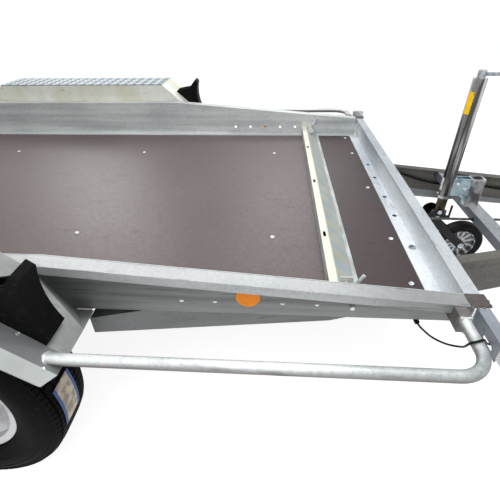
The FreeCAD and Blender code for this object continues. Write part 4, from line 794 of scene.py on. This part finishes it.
tyre_rubber = moulded("tyre_rubber", tint(15, 15, 16), tint(4, 4, 5), gloss=0.6, mirror=0.06)
centre = at(WHEEL_X[0], -WHEEL_Y, WHEEL_Z)
tyre = begin(bpy.ops.mesh.primitive_cylinder_add, vertices=TYRE_SEGMENTS,
             radius=TREAD_FLOOR_R * MM, depth=2 * TREAD_MIDDLE * MM, end_fill_type="NOTHING",
             location=centre, rotation=(math.radians(90), 0, 0))
mode("EDIT")
bpy.ops.mesh.select_mode(type="EDGE")
bpy.ops.mesh.select_all(action="DESELECT")
bpy.ops.mesh.select_non_manifold()
last_r, last_half = TREAD_FLOOR_R, TREAD_MIDDLE
for radius, half in TYRE_SECTION:
    bpy.ops.mesh.extrude_region()
    stretch_ring(centre, radius / last_r, half / last_half)
    last_r, last_half = radius, half
bpy.ops.mesh.bridge_edge_loops()
bpy.ops.mesh.select_all(action="SELECT")
bpy.ops.mesh.normals_make_consistent(inside=False)
pick(tyre, lambda place, normal: math.hypot(place.x - centre.x, place.z - centre.z)
     > BLOCKS_FROM_R * MM)
bpy.ops.mesh.inset(thickness=TREAD_GROOVE * MM, depth=TREAD_DEPTH * MM, use_individual=True)
settle(tyre, "tread_front_right", "wheel_front_right", tyre_rubber)
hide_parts("tyre_front_right")
for end, wheel_x in zip(("front", "rear"), WHEEL_X):
    for side, sign in (("left", 1), ("right", -1)):
        if (end, side) != ("front", "right"):
            move = Vector((wheel_x - WHEEL_X[0], (sign + 1) * WHEEL_Y, 0)) * MM
            copy = again(tyre, "tread_%s_%s" % (end, side), Matrix.Translation(move),
                         "wheel_%s_%s" % (end, side))
            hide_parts("tyre_%s_%s" % (end, side))


# Paper and film labels, blank: the new tyre's size label with blue edges, and the jockey
# tube's yellow label and white strip. Each is a thin curved sheet, glued on.
LABEL_T = 0.5
LABEL_SIDES = 144
TYRE_LABEL_R = 289.3
TYRE_LABEL_W = 66
TYRE_LABEL_ARC = (346, 371)
TYRE_LABEL_Y = -982
EDGE_FROM_MIDDLE = 24
TUBE_LABEL_R = 24.1
JOCKEY_LABEL = {"z": 357, "height": 78, "arc": (188, 238)}
JOCKEY_STRIP = {"z": 35, "height": 54, "arc": (170, 202)}
JOCKEY_TUBE_X = 252


def wrapped(name, centre, upright, radius, span, arc, body, finish):
    """A thin sheet round part of a cylinder, between the arc's two angles in degrees."""
    first, last = arc
    turn = (0, 0, 0) if upright else (math.radians(90), 0, 0)
    sheet = begin(bpy.ops.mesh.primitive_cylinder_add, vertices=LABEL_SIDES, radius=radius * MM,
                  depth=span * MM, end_fill_type="NOTHING", location=centre, rotation=turn)

    def beyond(place, normal):
        rise = place.y - centre.y if upright else place.z - centre.z
        angle = math.degrees(math.atan2(rise, place.x - centre.x)) % 360
        return not first <= (angle if angle >= first else angle + 360) <= last

    pick(sheet, beyond)
    bpy.ops.mesh.delete(type="FACE")
    bpy.ops.mesh.select_all(action="SELECT")
    bpy.ops.mesh.solidify(thickness=-LABEL_T * MM)
    bpy.ops.mesh.select_all(action="SELECT")
    bpy.ops.mesh.normals_make_consistent(inside=False)
    settle(sheet, name, body, finish)


def printed(name, colour, worn):
    """Printed film, a little worn and soiled."""
    finish, place = new_finish(name)
    soil = cloud(place, 60.0, 5.0)
    return dress(finish, {"Base Color": mixed(ramp_up(soil, 0.5, 0.75), colour, worn),
                          "Roughness": 0.35 + 0.2 * soil})


tread_label, point = new_finish("tread_label")
middle = within(axes(point)[1], (TYRE_LABEL_Y - EDGE_FROM_MIDDLE) * MM,
                (TYRE_LABEL_Y + EDGE_FROM_MIDDLE) * MM)
blotch = ramp_up(cloud(point, 55.0, 1.0), 0.35, 0.65)
paper = mixed(blotch, tint(190, 178, 156), tint(140, 128, 118))
paper = mixed(middle, tint(38, 74, 128), paper)
dress(tread_label, {"Base Color": paper, "Roughness": 0.45 + 0.1 * blotch})
wrapped("tyre_size_label", at(WHEEL_X[0], TYRE_LABEL_Y, WHEEL_Z), False, TYRE_LABEL_R,
        TYRE_LABEL_W, TYRE_LABEL_ARC, "wheel_front_right", tread_label)
jockey_yellow = printed("jockey_label", tint(250, 200, 0), tint(206, 160, 20))
jockey_white = printed("jockey_strip", tint(228, 230, 226), tint(160, 162, 160))
for name, label, finish in (("jockey_label", JOCKEY_LABEL, jockey_yellow),
                            ("jockey_strip", JOCKEY_STRIP, jockey_white)):
    wrapped(name, at(JOCKEY_TUBE_X, 0, label["z"]), True, TUBE_LABEL_R, label["height"],
            label["arc"], "chassis", finish)


# Plated hexagon bolts with washers: two hold the jockey clamp, two the fork's head and one
# is the jockey wheel's axle; five bigger ones hold each road wheel.
WASHER_R = 10.0
WASHER_T = 1.6
WASHER_EDGE = 0.5
HEX_R = 7.4
HEX_H = 6.0
HEX_EDGE = 1.2
CLAMP_BOLTS = [(286, 38), (316, 16)]
CLAMP_FACE_Y = -20
FORK_BOLTS = [(240, -82), (236, -108)]
FORK_FACE_Y = -36
AXLE_BOLT = (376, -250)
LUG_CIRCLE_R = 55.0
LUG_COUNT = 5
LUG_FACE_Y = 999.0
LUG_SCALE = 1.15
FORK_BOLT_SCALE = 0.9
AXLE_BOLT_SCALE = 1.3


def toward(x, y, z, scale, turn):
    """Moves the first bolt, which points along -Y, to a place, sized and turned about Z."""
    return (Matrix.Translation(at(x, y, z)) @ Matrix.Rotation(turn, 4, "Z")
            @ Matrix.Scale(scale, 4) @ Matrix.Translation(-bolt_foot))


(bolt_x, bolt_z), second_bolt = CLAMP_BOLTS
bolt_foot = at(bolt_x, CLAMP_FACE_Y, bolt_z)
washer = begin(bpy.ops.mesh.primitive_cylinder_add, vertices=24, radius=WASHER_R * MM,
               depth=WASHER_T * MM, location=bolt_foot - Vector((0, WASHER_T / 2 * MM, 0)),
               rotation=(math.radians(90), 0, 0))
pick(washer, lambda place, normal: normal.y < -0.9)
bpy.ops.mesh.bevel(offset=WASHER_EDGE * MM, segments=2)
settle(washer, "clamp_bolts", "chassis", bright_plate)
bolt = begin(bpy.ops.mesh.primitive_cylinder_add, vertices=6, radius=HEX_R * MM, depth=HEX_H * MM,
             location=bolt_foot - Vector((0, (WASHER_T + HEX_H / 2) * MM, 0)),
             rotation=(math.radians(90), 0, 0))
pick(bolt, lambda place, normal: normal.y < -0.9)
bpy.ops.mesh.bevel(offset=HEX_EDGE * MM, segments=2)
settle(bolt, "clamp_bolts", "chassis", bright_plate)
bolt = join([bolt, washer])
join([again(bolt, "fork_bolts", toward(x, FORK_FACE_Y, z, scale, 0.0), "jockey_fork")
      for (x, z), scale in ((FORK_BOLTS[0], FORK_BOLT_SCALE), (FORK_BOLTS[1], FORK_BOLT_SCALE),
                            (AXLE_BOLT, AXLE_BOLT_SCALE))])
for end, wheel_x in zip(("front", "rear"), WHEEL_X):
    for side, sign in (("left", 1), ("right", -1)):
        body = "wheel_%s_%s" % (end, side)
        lugs = []
        for index in range(LUG_COUNT):
            angle = math.radians(90 + 360 / LUG_COUNT * index)
            place = (wheel_x + LUG_CIRCLE_R * math.cos(angle), sign * LUG_FACE_Y,
                     WHEEL_Z + LUG_CIRCLE_R * math.sin(angle))
            turn = 0.0 if sign < 0 else math.pi
            lugs.append(again(bolt, "wheel_bolts_%s_%s" % (end, side),
                              toward(*place, LUG_SCALE, turn), body))
        join(lugs)
again(bolt, "clamp_bolt", toward(second_bolt[0], CLAMP_FACE_Y, second_bolt[1], 1.0, 0.0),
      "chassis")


# Weld beads, galvanised over: lumpy rings where the guard tubes meet the mudguards and
# their blocks on the header.
BEAD_R = 3.4
BEAD_LUMP = 1.1
GUARD_TUBE_R = 13.5
GUARD_Z = 78
REAR_BEAD = ((-929, 994), (0, math.radians(62), 0))
FRONT_BEAD = ((-29, 838), (math.radians(90), 0, 0))
beads = []
for sign in (-1, 1):
    for (x, y), turn in (REAR_BEAD, FRONT_BEAD):
        bead = begin(bpy.ops.mesh.primitive_torus_add, location=at(x, sign * y, GUARD_Z),
                     rotation=turn, major_radius=GUARD_TUBE_R * MM, minor_radius=BEAD_R * MM,
                     major_segments=28, minor_segments=8)
        mode("EDIT")
        bpy.ops.mesh.select_all(action="SELECT")
        bpy.ops.transform.vertex_random(offset=BEAD_LUMP * MM, seed=len(beads) + 1)
        beads.append(settle(bead, "guard_welds", "chassis", zinc_tube, smooth=60))
join(beads)


# A short dark plate lies on each upper corner, where the rail's flange meets the header's:
# it is painted shade, standing for the dark open corner between the two profiles. Bright
# lumps of weld stand along its outer and front edges.
CAP_PLACE = (21, 786, 91.5)
CAP_SIZE = (46, 46, 3)
CAP_EDGE = 0.8
SPOT_R = 3.2
CAP_SPOTS = [(0, 810), (11, 812), (25, 810), (44, 800), (45, 786)]
# Painted shade: the corner plates' dark greys.
corner_shade_finish, point = new_finish("corner_shade_steel")
rough = cloud(point, 70.0, 6.0)
dress(corner_shade_finish, {"Base Color": mixed(rough, tint(44, 41, 41), tint(96, 90, 88)),
                   "Metallic": 0.3, "Roughness": 0.5 + 0.2 * rough,
                   "Normal": bump(rough, 0.0008, 0.5)})
caps = []
spots = []
for sign in (-1, 1):
    x, y, z = CAP_PLACE
    cap = begin(bpy.ops.mesh.primitive_cube_add, size=1, location=at(x, sign * y, z),
                scale=[side * MM for side in CAP_SIZE])
    bpy.ops.object.transform_apply(location=False, rotation=False, scale=True)
    pick(cap, lambda place, normal: normal.z > 0.9)
    bpy.ops.mesh.bevel(offset=CAP_EDGE * MM, segments=2)
    caps.append(settle(cap, "corner_shade_plates", "chassis", corner_shade_finish))
    for spot_x, spot_y in CAP_SPOTS:
        spot = begin(bpy.ops.mesh.primitive_ico_sphere_add, subdivisions=2, radius=SPOT_R * MM,
                     location=at(spot_x, sign * spot_y, z - CAP_SIZE[2] / 2))
        mode("EDIT")
        bpy.ops.mesh.select_all(action="SELECT")
        bpy.ops.transform.vertex_random(offset=BEAD_LUMP * MM, seed=len(spots) + 1)
        spots.append(settle(spot, "corner_welds", "chassis", zinc_tube, smooth=60))
join(caps)
join(spots)
